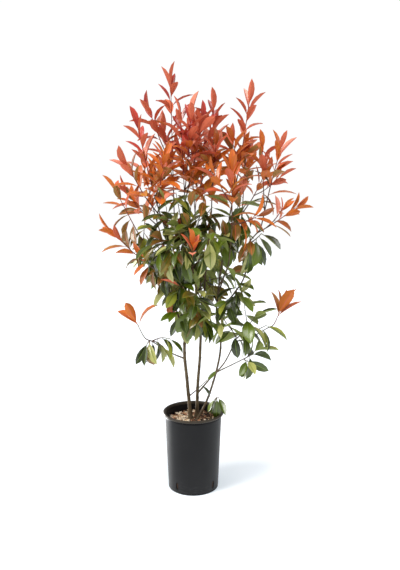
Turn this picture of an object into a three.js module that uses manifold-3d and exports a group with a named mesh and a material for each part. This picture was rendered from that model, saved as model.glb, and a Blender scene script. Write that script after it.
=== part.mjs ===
// A young photinia shrub with red new growth, three stems in a round nursery pot.
// Millimetres, +Z up. The origin is the middle of the pot's flat underside, and -Y is the shrub's front.
//
// Stems and boughs are tapering limbs on smooth curves. Each mass of foliage is one solid: a stem and
// its shoots on the same kind of curve, side twigs grown from them by a seeded rule, and leaves set
// round them by the golden angle. Every limb and mass starts CLEARANCE clear of what carries it.

import * as THREE from "three";
import { mergeVertices } from "three/addons/utils/BufferGeometryUtils.js";
import Module from "manifold-3d";

const wasm = await Module();
wasm.setup();

// ---------------------------------------------------------------- driving sizes

const CLEARANCE = 0.3;

const POT = {
  height: 270,
  rimRadius: 103.5, // outside of the rolled rim
  rimDepth: 9,
  rimSteps: 4,
  bodyRadius: 96, // under the rim
  footRadius: 85.5, // at the foot
  footRound: 8,
  wall: 2.6,
  floor: 3,
  sides: 32,
};
// Slots up the foot of the pot's wall, the first one turned by tilt degrees.
const DRAIN = { count: 4, width: 9, height: 26, rise: 13, tilt: 51 };
// The potting mix: flat under the stems, lower where it meets the wall.
const MIX = { top: 237, flatRadius: 74, edgeDrop: 4, edgeGap: 1.6 };

// A bough swells by collar where it leaves its carrier, and a stem by flare at the mix. Both fade with
// the distance from there, over the lengths given.
const LIMB = { sides: 6, stepLength: 42, collar: 0.35, collarLength: 14, flare: 0.8, flareLength: 16 };
const TWIG = { sides: 3, stepLength: 200, foot: 2.1, tip: 0.9, sag: 0.06, hang: 0.15 };
const SIDE_TWIG = { length: [50, 100], lean: [35, 58], lift: 0.5, reach: [0.3, 0.75], leaves: 6, bare: 0.3 };

// A leaf's width and fold are shares of its length, and widest and thickest are where along it they lie.
const LEAF = { length: 88, width: 0.35, thickness: 1.8, fold: 0.1, widest: 0.5, thickest: 0.25, sunk: 1.1 };
// Round a shoot: angles in degrees and sizes from its lowest leaf to its tip, with the chance part of each.
const ROUND = { goldenAngle: 137.508, leanChance: 16, turnChance: 24, tipLean: 6 };
const SIZES = { fromTo: [1.0, 0.86], chance: [0.85, 1.12] };
// By age: the lean of the leaves from their shoot, how much of the hang is left at its tip, and
// crowding, under 1 where the leaves stand closer towards the tip.
const STANCE = {
  young: { lean: [50, 22], tipHang: 0, crowding: 0.68 },
  green: { lean: [68, 24], tipHang: 0.5, crowding: 0.9 },
};
// The solids have every second leaf, counted from the tip, and a green one is larger than life by share.
const SOLID_LEAF = { everyNth: 2, share: { young: 1, green: 1.12 }, inTwig: 0.15 };

// ---------------------------------------------------------------- the plant, limb by limb

// A stem stands on the mix at foot [x, y] and passes the places of its path. radius is [foot, tip].
const STEMS = {
  stem_left: { foot: [-8, 0], path: [[-20, 0, 368], [-29, 0, 495], [-12, 4, 640]], radius: [6.2, 4.2] },
  stem_middle: {
    foot: [12, 20],
    path: [[15, 20, 355], [22, 20, 445], [27, 20, 565], [36, 22, 660]],
    radius: [5.5, 3.8],
  },
  stem_right: {
    foot: [11, -12],
    path: [[48, -10, 315], [82, 0, 427], [92, 0, 515], [77, 0, 600], [88, 0, 735]],
    radius: [3.7, 2.8],
  },
  shoot_basal: { foot: [58, -20], path: [[64, -28, 282], [78, -40, 330]], radius: [1.9, 1.4] },
};

// A bough leaves its carrier at a share of the carrier's length and passes the places of its path.
const BOUGHS = {
  bough_left: {
    on: "stem_left", at: 0.76, radius: [3.4, 2.2],
    path: [[-70, -20, 668], [-95, -30, 755]],
  },
  bough_right: {
    on: "stem_right", at: 0.82, radius: [2.9, 1.9],
    path: [[133, -10, 676], [170, -20, 745], [172, -20, 830], [218, -22, 893]],
  },
  leader_centre: {
    on: "stem_left", at: 1, radius: [3.7, 2.4],
    path: [[-16, 0, 760], [-20, 0, 890]],
  },
  leader_far_left: {
    on: "stem_left", at: 0.95, radius: [3.0, 2.1],
    path: [[-48, -24, 745], [-84, -30, 875]],
  },
  leader_rear_left: {
    on: "stem_left", at: 0.89, radius: [3.0, 2.1],
    path: [[-38, 34, 760], [-62, 44, 930]],
  },
  leader_middle: {
    on: "stem_middle", at: 1, radius: [3.3, 2.2],
    path: [[46, 42, 800], [61, 60, 945]],
  },
  leader_right: {
    on: "stem_right", at: 1, radius: [2.8, 2.1],
    path: [[106, 2, 845], [122, 0, 950]],
  },
  bough_back_left: {
    on: "stem_left", at: 0.82, radius: [2.8, 1.9],
    path: [[-62, 88, 700], [-112, 150, 850]],
  },
  bough_back: {
    on: "stem_middle", at: 0.84, radius: [2.8, 1.9],
    path: [[22, 112, 735], [8, 180, 890]],
  },
  bough_back_right: {
    on: "stem_right", at: 0.91, radius: [2.4, 1.8],
    path: [[122, 82, 770], [165, 140, 885]],
  },
  bough_front: {
    on: "stem_middle", at: 0.94, radius: [2.4, 1.8],
    path: [[14, -70, 700], [3, -146, 770]],
  },
  bough_front_right: {
    on: "stem_right", at: 0.95, radius: [2.3, 1.8],
    path: [[112, -68, 780], [122, -104, 900]],
  },
  bough_low_left: {
    on: "stem_left", at: 0.56, radius: [2.4, 1.7],
    path: [[-80, -20, 482], [-135, -40, 524]],
  },
  bough_low_right: {
    on: "stem_middle", at: 0.18, radius: [2.7, 1.9],
    path: [[60, -14, 392], [104, -34, 450], [141, -50, 534]],
  },
  bough_rosette: {
    on: "bough_low_right", at: 0.97, radius: [1.9, 1.5],
    path: [[182, -30, 530], [250, -6, 562]],
  },
  bough_lowest_right: {
    on: "stem_right", at: 0.36, radius: [2.1, 1.6],
    path: [[120, -16, 432], [164, -30, 459]],
  },
};

// A mass of foliage grows on a limb. Its first shoot is its stem and the others leave that stem at a
// share of its length. to is a shoot's tip, leaves how many stand on it, bare the leafless share at its
// foot, sag how far it bows down (or, below zero, up) as a share of its length, hang how much its older
// leaves droop, size their share of LEAF.length, and close a share of their lean, under 1 in a narrow
// tuft. twigs is the number of side twigs that the seeded rule adds.
const YOUNG = "young";
const GREEN = "green";
const MASSES = {
  foliage_top_centre: {
    on: "leader_centre", at: 1, age: YOUNG, twigs: 3,
    shoots: [
      { to: [-37, -38, 1238], leaves: 16, bare: 0.3 },
      { from: 0.38, to: [-4, -62, 1240], leaves: 15, bare: 0.2 },
      { from: 0.3, to: [27, -22, 1226], leaves: 15, bare: 0.22 },
    ],
  },
  foliage_top_left: {
    on: "leader_rear_left", at: 1, age: YOUNG, twigs: 0,
    shoots: [
      { to: [-70, 30, 1342], leaves: 12, bare: 0.6 },
      { from: 0.44, to: [-136, 50, 1255], leaves: 9, bare: 0.45 },
      { from: 0.3, to: [-92, 92, 1190], leaves: 9, bare: 0.35 },
    ],
  },
  foliage_upper_left: {
    on: "leader_far_left", at: 1, age: YOUNG, twigs: 1,
    shoots: [
      { to: [-168, -50, 1200], leaves: 15, bare: 0.28 },
      { from: 0.2, to: [-196, -96, 1088], leaves: 11, bare: 0.35 },
      { from: 0.35, to: [-88, -98, 1118], leaves: 12, bare: 0.2 },
    ],
  },
  foliage_far_left: {
    on: "bough_left", at: 1, age: YOUNG, twigs: 1,
    shoots: [{ to: [-244, 10, 1002], leaves: 13, bare: 0.25, sag: 0.05, hang: 2.0 }],
  },
  foliage_far_left_low: {
    on: "bough_left", at: 0.9, age: YOUNG, twigs: 0,
    shoots: [
      { to: [-254, -60, 884], leaves: 9, bare: 0.3, sag: 0.04, hang: 0.3, close: 0.75 },
      { from: 0.15, to: [-154, -74, 806], leaves: 5, bare: 0.3, hang: 1.6, size: 0.85 },
    ],
  },
  foliage_top_right: {
    on: "leader_middle", at: 1, age: YOUNG, twigs: 2,
    shoots: [
      { to: [67, 80, 1262], leaves: 14, bare: 0.35 },
      { from: 0.22, to: [72, -48, 1150], leaves: 13, bare: 0.2 },
      { from: 0.3, to: [20, 108, 1196], leaves: 11, bare: 0.25 },
    ],
  },
  foliage_upper_right: {
    on: "leader_right", at: 1, age: YOUNG, twigs: 2,
    shoots: [
      { to: [178, 20, 1282], leaves: 16, bare: 0.4 },
      { from: 0.25, to: [130, 72, 1160], leaves: 9, bare: 0.3 },
    ],
  },
  foliage_front_right: {
    on: "bough_front_right", at: 1, age: YOUNG, twigs: 1,
    shoots: [
      { to: [121, -104, 1078], leaves: 12, bare: 0.25 },
      { from: 0.1, to: [196, -104, 938], leaves: 7, bare: 0.4, hang: 0.7 },
    ],
  },
  foliage_right_high: {
    on: "bough_right", at: 1, age: YOUNG, twigs: 1,
    shoots: [
      { to: [274, -34, 1140], leaves: 11, bare: 0.4, sag: -0.04 },
      { from: 0.2, to: [222, 8, 1140], leaves: 6, bare: 0.55, size: 0.9 },
    ],
  },
  foliage_right_side: {
    on: "bough_right", at: 0.94, age: YOUNG, twigs: 0,
    shoots: [
      { to: [330, 0, 958], leaves: 7, bare: 0.4, sag: 0.03, size: 0.8 },
      { from: 0.25, to: [284, -62, 962], leaves: 6, bare: 0.45, size: 0.75, close: 0.8 },
    ],
  },
  foliage_right_hanging: {
    on: "bough_right", at: 0.8, age: GREEN, twigs: 0,
    shoots: [
      { to: [218, -60, 882], leaves: 5, bare: 0.15, hang: 2.0, size: 1.15 },
      { from: 0.1, to: [180, -74, 866], leaves: 4, bare: 0.3, hang: 2.0, size: 1.15 },
    ],
  },
  foliage_middle_left: {
    on: "leader_far_left", at: 0.45, age: GREEN, twigs: 2,
    shoots: [
      { to: [-116, -84, 905], leaves: 9, bare: 0.25, hang: 1.8 },
      { from: 0.3, to: [-74, -130, 850], leaves: 8, bare: 0.25, hang: 2.0 },
      { from: 0.25, to: [-82, -92, 968], leaves: 8, bare: 0.3, hang: 0.5 },
    ],
  },
  foliage_middle_front: {
    on: "bough_front", at: 1, age: GREEN, twigs: 2,
    shoots: [
      { to: [-44, -138, 900], leaves: 9, bare: 0.25, hang: 1.9, size: 0.95 },
      { from: 0.1, to: [66, -142, 884], leaves: 9, bare: 0.25, hang: 1.9, size: 0.95 },
      { from: 0.04, to: [0, -170, 856], leaves: 6, bare: 0.66, hang: 0, size: 0.86, close: 0.42 },
    ],
  },
  foliage_middle_centre: {
    on: "leader_centre", at: 0.55, age: GREEN, twigs: 3,
    shoots: [
      { to: [-6, -92, 965], leaves: 9, bare: 0.25, hang: 0.4 },
      { from: 0.3, to: [-52, -84, 1012], leaves: 9, bare: 0.3, hang: 1.9 },
      { from: 0.25, to: [38, -66, 1004], leaves: 9, bare: 0.3, hang: 2.0 },
    ],
  },
  foliage_middle_right: {
    on: "leader_right", at: 0.4, age: GREEN, twigs: 2,
    shoots: [
      { to: [150, 34, 972], leaves: 9, bare: 0.3, hang: 1.9 },
      { from: 0.3, to: [136, -52, 932], leaves: 7, bare: 0.3, hang: 2.0 },
      { from: 0.15, to: [104, -84, 880], leaves: 7, bare: 0.3, hang: 0.7 },
    ],
  },
  foliage_lower_left: {
    on: "bough_left", at: 0.45, age: GREEN, twigs: 1,
    shoots: [
      { to: [-80, -70, 800], leaves: 8, bare: 0.2, hang: 1.6 },
      { from: 0.3, to: [-36, -96, 726], leaves: 7, bare: 0.25, hang: 1.2 },
    ],
  },
  foliage_lower_centre: {
    on: "stem_left", at: 0.86, age: GREEN, twigs: 2,
    shoots: [
      { to: [14, -112, 708], leaves: 9, bare: 0.3, hang: 1.4 },
      { from: 0.3, to: [44, -76, 608], leaves: 7, bare: 0.2, hang: 1.9 },
      { from: 0.1, to: [-44, -62, 632], leaves: 6, bare: 0.2, hang: 1.6 },
      { from: 0.05, to: [8, 78, 650], leaves: 6, bare: 0.3, hang: 1.1 },
    ],
  },
  foliage_lower_right: {
    on: "bough_right", at: 0.2, age: GREEN, twigs: 1,
    shoots: [
      { to: [158, -84, 700], leaves: 6, bare: 0.25, hang: 1.0, size: 0.9 },
      { from: 0.35, to: [104, -92, 664], leaves: 7, bare: 0.2, hang: 0.9, size: 0.9 },
    ],
  },
  foliage_low_left: {
    on: "bough_low_left", at: 1, age: GREEN, twigs: 0,
    shoots: [
      { to: [-182, -50, 586], leaves: 3, bare: 0.9, sag: 0.22, hang: 0, size: 1.05, close: 0.4 },
      { from: 0.05, to: [-98, -62, 512], leaves: 5, bare: 0.1, sag: -0.12, hang: 1.7, size: 0.95 },
      { from: 0.1, to: [-150, -72, 520], leaves: 4, bare: 0.2, sag: -0.15, hang: 1.5, size: 1.0 },
      { from: 0.02, to: [-74, -66, 540], leaves: 4, bare: 0.3, sag: -0.1, hang: 1.7, size: 0.9 },
    ],
  },
  foliage_low_right: {
    on: "bough_low_right", at: 1, age: GREEN, twigs: 2,
    shoots: [
      { to: [202, -70, 618], leaves: 9, bare: 0.1, hang: 1.0 },
      { from: 0.05, to: [120, -96, 590], leaves: 4, bare: 0.3, hang: 1.2 },
      { from: 0.3, to: [238, -64, 584], leaves: 4, bare: 0.4, hang: 1.8, size: 1.05 },
    ],
  },
  foliage_rosette: {
    on: "bough_rosette", at: 1, age: YOUNG, twigs: 0,
    shoots: [{ to: [286, 0, 612], leaves: 7, bare: 0.84, sag: 0.25, hang: 0, size: 1.2, close: 0.5 }],
  },
  foliage_lowest_right: {
    on: "bough_lowest_right", at: 1, age: GREEN, twigs: 0,
    shoots: [
      { to: [208, -50, 498], leaves: 6, bare: 0.1, hang: 0.9 },
      { from: 0.1, to: [178, -82, 470], leaves: 4, bare: 0.3, hang: 1.0, size: 0.9 },
    ],
  },
  foliage_low_twig: {
    on: "stem_left", at: 0.21, age: GREEN, twigs: 0,
    shoots: [{ to: [46, -30, 388], leaves: 2, bare: 0.7, sag: 0.02, hang: 0.2, size: 0.6 }],
  },
  foliage_basal: {
    on: "shoot_basal", at: 1, age: GREEN, twigs: 0,
    shoots: [
      { to: [84, -60, 338], leaves: 2, bare: 0.1, hang: 2.2, size: 0.85 },
      { from: 0.1, to: [70, -48, 327], leaves: 2, bare: 0.5, hang: 2.2, size: 0.65 },
    ],
  },
  foliage_back_left: {
    on: "bough_back_left", at: 1, age: YOUNG, twigs: 3,
    shoots: [
      { to: [-170, 170, 1090], leaves: 13, bare: 0.25 },
      { from: 0.25, to: [-96, 196, 1120], leaves: 12, bare: 0.3 },
      { from: 0.15, to: [-214, 140, 990], leaves: 9, bare: 0.35 },
    ],
  },
  foliage_back_centre: {
    on: "bough_back", at: 1, age: YOUNG, twigs: 3,
    shoots: [
      { to: [-10, 210, 1180], leaves: 13, bare: 0.3 },
      { from: 0.3, to: [62, 196, 1140], leaves: 12, bare: 0.3 },
      { from: 0.15, to: [14, 266, 1036], leaves: 10, bare: 0.3, size: 0.8 },
    ],
  },
  foliage_back_right: {
    on: "bough_back_right", at: 1, age: YOUNG, twigs: 2,
    shoots: [
      { to: [176, 150, 1130], leaves: 11, bare: 0.3 },
      { from: 0.2, to: [236, 128, 1050], leaves: 8, bare: 0.4 },
      { from: 0.15, to: [150, 226, 1000], leaves: 9, bare: 0.3 },
    ],
  },
  foliage_back_lower_left: {
    on: "bough_back_left", at: 0.5, age: GREEN, twigs: 3,
    shoots: [
      { to: [-132, 100, 808], leaves: 9, bare: 0.25, hang: 1.2 },
      { from: 0.3, to: [-60, 160, 750], leaves: 10, bare: 0.2, hang: 1.0 },
      { from: 0.2, to: [-88, 66, 750], leaves: 5, bare: 0.25, hang: 1.3 },
    ],
  },
  foliage_back_lower_right: {
    on: "bough_back", at: 0.45, age: GREEN, twigs: 3,
    shoots: [
      { to: [84, 176, 790], leaves: 10, bare: 0.2, hang: 1.0 },
      { from: 0.3, to: [12, 200, 720], leaves: 9, bare: 0.2, hang: 1.0 },
      { from: 0.1, to: [66, 92, 672], leaves: 8, bare: 0.25, hang: 1.1 },
    ],
  },
};

// ---------------------------------------------------------------- small helpers

const vector = ([x, y, z]) => new THREE.Vector3(x, y, z);
const mix = (a, b, share) => a + (b - a) * share;
const radians = (degrees) => (degrees * Math.PI) / 180;

// A repeatable stream of numbers from 0 to 1.
function seeded(seed) {
  let state = Math.imul(seed + 1, 2654435761) >>> 0;
  return () => {
    state = (Math.imul(state, 1664525) + 1013904223) >>> 0;
    return state / 4294967296;
  };
}

// A closed geometry as a manifold solid, and back. Corners closer than WELD become one.
const WELD = 1e-3;
const GRID = 5e-3;

function solid(geometry) {
  geometry.deleteAttribute("normal");
  geometry.deleteAttribute("uv");
  const merged = mergeVertices(geometry, WELD);
  const vertProperties = merged.attributes.position.array;
  const triVerts = new Uint32Array(merged.index.array);
  return new wasm.Manifold(new wasm.Mesh({ numProp: 3, vertProperties, triVerts }));
}

function geometryOf(body) {
  const { vertProperties, triVerts } = body.getMesh();
  const geometry = new THREE.BufferGeometry();
  geometry.setAttribute("position", new THREE.BufferAttribute(vertProperties, 3));
  geometry.setIndex(new THREE.BufferAttribute(triVerts, 1));
  geometry.computeVertexNormals();
  return geometry;
}

// The largest body of a solid: loose scraps go, and a hollow that fusing sealed is filled.
function oneBody(body) {
  return body.decompose().reduce((a, b) => (b.volume() > a.volume() ? b : a));
}

// The same body with its corners moved to a fine grid, which welds those that cutting left too close.
function welded(body) {
  const geometry = geometryOf(body);
  const places = geometry.attributes.position;
  geometry.attributes.position.array = places.array.map((value) => Math.round(value / GRID) * GRID);
  return oneBody(solid(geometry));
}

// Whether every edge of a body joins just two faces once its corners are welded.
function isClean(body) {
  const geometry = geometryOf(welded(body)).deleteAttribute("normal");
  const { array: corners } = mergeVertices(geometry, WELD).index;
  const uses = new Map();
  for (let i = 0; i < corners.length; i++) {
    const next = i % 3 === 2 ? i - 2 : i + 1;
    const edge = [corners[i], corners[next]].sort((a, b) => a - b).join();
    uses.set(edge, (uses.get(edge) ?? 0) + 1);
  }
  return [...uses.values()].every((count) => count === 2);
}

const touches = (a, b) => !a.intersect(b).isEmpty();

// ---------------------------------------------------------------- pot and potting mix

// A closed body turned round the upright axis from places [radius, height].
function turned(profile) {
  const geometry = new THREE.LatheGeometry(profile.map(([r, z]) => new THREE.Vector2(r, z)), POT.sides);
  return solid(geometry.rotateX(Math.PI / 2));
}

// How far out the inside of the pot's wall is at a height: the wall leans out from foot to rim.
function insideAt(z) {
  const { height, rimDepth, bodyRadius, footRadius, footRound, wall, floor } = POT;
  const slope = (bodyRadius - footRadius) / (height - rimDepth - footRound);
  return footRadius - wall + slope * (z - floor);
}

// The pot: a wall with a rolled rim and a flat floor, and drain slots cut through its foot.
function potBody() {
  const { height, rimRadius, rimDepth, rimSteps, bodyRadius, footRadius, footRound, wall, floor } = POT;
  const roll = rimDepth / 2;
  const lip = Array.from({ length: rimSteps + 1 }, (_, i) => {
    const angle = Math.PI * (i / rimSteps - 0.5);
    return [rimRadius - roll + roll * Math.cos(angle), height - roll + roll * Math.sin(angle)];
  });
  const foot = [[0, 0], [footRadius - footRound, 0], [footRadius, footRound]];
  const inside = [[insideAt(height), height - wall], [insideAt(floor), floor], [0, floor]];
  let body = turned([...foot, [bodyRadius, height - rimDepth], ...lip, ...inside]);
  for (let i = 0; i < DRAIN.count; i++) {
    const slot = new THREE.BoxGeometry(4 * wall, DRAIN.width, DRAIN.height);
    slot.translate(footRadius, 0, DRAIN.rise + DRAIN.height / 2);
    slot.rotateZ(radians(DRAIN.tilt + (360 / DRAIN.count) * i));
    body = body.subtract(solid(slot));
  }
  return oneBody(body);
}

// The mix fills the pot to MIX.top, a gap off the wall and the clearance off the floor.
function mixBody() {
  const bottom = POT.floor + CLEARANCE;
  const edge = MIX.top - MIX.edgeDrop;
  const wall = [bottom, edge].map((z) => [insideAt(z) - MIX.edgeGap, z]);
  return turned([[0, bottom], ...wall, [MIX.flatRadius, MIX.top], [0, MIX.top]]);
}

// ---------------------------------------------------------------- limbs

// Three axes at a place on a curve: along it and two across it.
function frameAt(curve, share) {
  const along = curve.getTangent(share).normalize();
  const span = curve.getPoint(1).sub(curve.getPoint(0));
  const reference = Math.abs(span.y) > Math.abs(span.x) ? [1, 0, 0] : [0, 1, 0];
  const across = vector(reference).cross(along).normalize();
  return { along, across, third: along.clone().cross(across) };
}

// A closed tube with flat ends: a cylinder bent along the curve, its radius worked out at each share.
// extra lengthens both ends, and a flatFoot's first ring lies level.
function tube(curve, radiusAt, sides, stepLength, { extra = 0, flatFoot = false } = {}) {
  const steps = Math.max(2, Math.round(curve.getLength() / stepLength));
  const geometry = new THREE.CylinderGeometry(1, 1, 1, sides, steps);
  const places = geometry.attributes.position;
  for (let i = 0; i < places.count; i++) {
    const share = places.getY(i) + 0.5;
    const { along, across, third } = frameAt(curve, share);
    const level = flatFoot && share === 0;
    const radius = radiusAt(share);
    const place = curve.getPoint(share);
    place.addScaledVector(level ? vector([1, 0, 0]) : across, places.getX(i) * radius);
    place.addScaledVector(level ? vector([0, 1, 0]) : third, -places.getZ(i) * radius);
    if (share === 0) place.addScaledVector(along, -extra);
    if (share === 1) place.addScaledVector(along, extra);
    places.setXYZ(i, place.x, place.y, place.z);
  }
  return solid(geometry);
}

const limbs = {}; // name -> { curve, body, around }

// A limb's own solid, and the same limb grown by the clearance to cut what it carries.
function makeLimb(name, points, [foot, tip], swelling, options) {
  const curve = new THREE.CatmullRomCurve3(points, false, "catmullrom", 0.5);
  const length = curve.getLength();
  const radiusAt = (share) => mix(foot, tip, share) * (1 + swelling(share * length));
  const grown = (share) => radiusAt(share) + CLEARANCE;
  const { sides, stepLength } = LIMB;
  const body = tube(curve, radiusAt, sides, stepLength, options);
  const around = tube(curve, grown, sides, stepLength, { ...options, extra: CLEARANCE });
  limbs[name] = { curve, body, around };
}

for (const [name, { foot, path, radius }] of Object.entries(STEMS)) {
  const points = [vector([...foot, MIX.top + CLEARANCE]), ...path.map(vector)];
  const flare = (distance) => LIMB.flare * Math.exp(-distance / LIMB.flareLength);
  makeLimb(name, points, radius, flare, { flatFoot: true });
}

for (const [name, { on, at, path, radius }] of Object.entries(BOUGHS)) {
  const carrier = limbs[on];
  const points = [carrier.curve.getPoint(at), ...path.map(vector)];
  const collar = (distance) => LIMB.collar * Math.exp(-distance / LIMB.collarLength);
  makeLimb(name, points, radius, collar, {});
  limbs[name].body = oneBody(limbs[name].body.subtract(carrier.around));
}

const fused = (bodies) => bodies.reduce((a, b) => a.add(b));
const allLimbs = fused(Object.values(limbs).map((limb) => limb.body));
const around = fused([...Object.values(limbs).map((limb) => limb.around), potBody(), mixBody()]);

// ---------------------------------------------------------------- shoots and leaves

// A shoot's curve: from its foot to its tip, bowed down or up in the middle by sag.
function shootCurve(foot, tip, sag) {
  const middle = foot.clone().lerp(tip, 0.5);
  middle.z -= sag * foot.distanceTo(tip);
  return new THREE.CatmullRomCurve3([foot, middle, tip], false, "catmullrom", 0.5);
}

// The shoots of a mass: the ones its table names, then side twigs that leave them by the seeded rule.
function shootsOf({ on, at, age, shoots, twigs }, seed) {
  const random = seeded(seed);
  const between = ([low, high]) => mix(low, high, random());
  const grown = [];
  const radius = [TWIG.foot, TWIG.tip];
  for (const { from, to, leaves, bare, sag = TWIG.sag, hang = TWIG.hang, size = 1, close = 1 } of shoots) {
    const foot = grown.length ? grown[0].curve.getPoint(from) : limbs[on].curve.getPoint(at);
    const stance = { hang, size, close, ...STANCE[age] };
    grown.push({ curve: shootCurve(foot, vector(to), sag), leaves, bare, stance, radius });
  }
  const named = grown.length;
  for (let i = 0; i < twigs; i++) {
    const parent = grown[i % named];
    const share = mix(...SIDE_TWIG.reach, (Math.floor(i / named) + random()) / Math.ceil(twigs / named));
    const { along, across, third } = frameAt(parent.curve, share);
    const turn = radians(i * ROUND.goldenAngle + 360 * random());
    const lean = radians(between(SIDE_TWIG.lean));
    const aim = along.multiplyScalar(Math.cos(lean));
    aim.addScaledVector(across, Math.sin(lean) * Math.cos(turn));
    aim.addScaledVector(third, Math.sin(lean) * Math.sin(turn));
    aim.z += SIDE_TWIG.lift;
    const foot = parent.curve.getPoint(share);
    const tip = foot.clone().addScaledVector(aim.normalize(), between(SIDE_TWIG.length));
    const { leaves, bare } = SIDE_TWIG;
    const { stance } = parent;
    const slim = [mix(TWIG.foot, TWIG.tip, 0.5), TWIG.tip];
    grown.push({ curve: shootCurve(foot, tip, TWIG.sag), leaves, bare, stance, radius: slim });
  }
  return grown;
}

// Where each leaf of a shoot sits and how it stands: alternate leaves by the golden angle, wide and
// drooping low on the shoot, close and upright at its tip, where the last few make a rosette.
function leavesOf({ curve, leaves, bare, stance }, seed) {
  const random = seeded(seed);
  const topLeaf = 1 - LEAF.sunk / curve.getLength();
  const placed = [];
  for (let i = 0; i < leaves; i++) {
    const rise = i / (leaves - 1); // 0 at the lowest leaf, 1 at the tip
    const fromTip = leaves - 1 - i;
    const share = mix(bare, topLeaf, Math.pow(rise, stance.crowding));
    const turn = radians(i * ROUND.goldenAngle + ROUND.turnChance * (random() - 0.5));
    const spread = stance.close * mix(...stance.lean, rise) + ROUND.leanChance * (random() - 0.5);
    const lean = radians(fromTip ? spread : ROUND.tipLean);
    const length = LEAF.length * stance.size * mix(...SIZES.fromTo, rise) * mix(...SIZES.chance, random());
    placed.push({ rise, share, turn, lean, length, root: curve.getPoint(share), fromTip });
  }
  return placed;
}

// The way a leaf points, turned on round its shoot by an extra angle, and the way its face looks.
function poseOf({ curve, stance }, { share, turn, lean, rise }, extra) {
  const { along, across, third } = frameAt(curve, share);
  const aim = along.clone().multiplyScalar(Math.cos(lean));
  aim.addScaledVector(across, Math.sin(lean) * Math.cos(turn + extra));
  aim.addScaledVector(third, Math.sin(lean) * Math.sin(turn + extra));
  aim.z -= stance.hang * mix(1, stance.tipHang, rise);
  aim.normalize();
  const face = along.addScaledVector(aim, -along.dot(aim)).normalize();
  return { aim, face };
}

// A leaf as a flattened octahedron: root and tip, two edges folded up, and its upper and lower middle.
function leafGeometry(root, length, { aim, face }) {
  const side = face.clone().cross(aim);
  const geometry = new THREE.OctahedronGeometry(1);
  const places = geometry.attributes.position;
  for (let i = 0; i < places.count; i++) {
    const [x, y, z] = [places.getX(i), places.getY(i), places.getZ(i)].map(Math.round);
    const middle = y ? LEAF.widest : LEAF.thickest;
    const place = root.clone().addScaledVector(aim, (x ? (x + 1) / 2 : middle) * length);
    place.addScaledVector(side, (y * LEAF.width * length) / 2);
    place.addScaledVector(face, (z * LEAF.thickness) / 2 + Math.abs(y) * LEAF.fold * length);
    places.setXYZ(i, place.x, place.y, place.z);
  }
  return geometry;
}

// ---------------------------------------------------------------- masses

const SPACE = { sampleLength: 12, margin: 1.2 };

// Points along the shoots of a mass. Its space is what lies nearer to them than to those of any other.
function samplesOf(shoots) {
  return shoots.flatMap(({ curve }) =>
    curve.getPoints(Math.ceil(curve.getLength() / SPACE.sampleLength)),
  );
}

function cornersOf({ attributes: { position } }) {
  const corner = (_, i) => new THREE.Vector3().fromBufferAttribute(position, i);
  return Array.from({ length: position.count }, corner);
}

const nearest = (place, samples) =>
  samples.reduce((least, sample) => Math.min(least, sample.distanceTo(place)), Infinity);

const growing = Object.entries(MASSES).map(([name, mass], i) => {
  const shoots = shootsOf(mass, i);
  return { name, ...mass, seed: i, shoots, carrier: limbs[mass.on] };
});

// Fuses a piece on to a mass where the result stays clean, and says whether it did.
function fuse(mass, piece) {
  const grown = mass.body ? mass.body.add(piece) : piece;
  if (!isClean(grown)) return false;
  mass.body = grown;
  return true;
}

// Twigs first: a shoot that would touch a limb or the shoots of a mass before it is skipped.
growing.forEach((mass, nth) => {
  const before = growing.slice(0, nth);
  mass.shoots = mass.shoots.filter(({ curve, radius }, i) => {
    const whole = tube(curve, (share) => mix(...radius, share), TWIG.sides, TWIG.stepLength);
    const twig = i ? whole : oneBody(whole.subtract(mass.carrier.around));
    const blocked = touches(twig, i ? around : allLimbs) || before.some(({ body }) => touches(body, twig));
    return !blocked && fuse(mass, twig);
  });
  mass.samples = samplesOf(mass.shoots);
});

// Then the leaves. One that would leave its mass's space, touch anything else or cut through a leaf of
// its own mass is turned on round its shoot, and skipped where no turn fits.
const TURNS = [0, 45, -45, 90, -90, 140].map(radians);
const SEEDS_PER_MASS = 100;
for (const mass of growing) {
  const others = growing.filter((other) => other !== mass);
  const rivals = others.flatMap((other) => other.samples);
  const inSpace = (place) => nearest(place, mass.samples) + SPACE.margin < nearest(place, rivals);
  const fits = (geometry, body) =>
    cornersOf(geometry).every(inSpace) &&
    !touches(body, around) &&
    !others.some((other) => touches(body, other.body)) &&
    body.intersect(mass.body).volume() < SOLID_LEAF.inTwig;
  mass.shoots.forEach((shoot, i) => {
    const leaves = leavesOf(shoot, mass.seed * SEEDS_PER_MASS + i);
    for (const leaf of leaves.filter(({ fromTip }) => fromTip % SOLID_LEAF.everyNth === 0)) {
      const length = leaf.length * SOLID_LEAF.share[mass.age];
      TURNS.some((turn) => {
        const geometry = leafGeometry(leaf.root, length, poseOf(shoot, leaf, turn));
        const body = solid(geometry);
        return fits(geometry, body) && fuse(mass, body);
      });
    }
  });
  mass.body = oneBody(mass.body);
}

// ---------------------------------------------------------------- the assembly

const finish = (color, roughness) => new THREE.MeshStandardMaterial({ color, roughness, metalness: 0 });
const FINISHES = {
  plastic: finish(0x2f3033, 0.5),
  mix: finish(0x6b4a34, 0.95),
  bark: finish(0x6a5744, 0.8),
  [YOUNG]: finish(0xc8452c, 0.45),
  [GREEN]: finish(0x3f6b22, 0.5),
};

const shrub = new THREE.Group();

function place(name, body, material) {
  const mesh = new THREE.Mesh(geometryOf(welded(body)), material);
  mesh.name = name;
  shrub.add(mesh);
}

place("pot", potBody(), FINISHES.plastic);
place("potting_mix", mixBody(), FINISHES.mix);
for (const [name, { body }] of Object.entries(limbs)) place(name, body, FINISHES.bark);
for (const { name, body, age } of growing) place(name, body, FINISHES[age]);

export default shrub;
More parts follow.
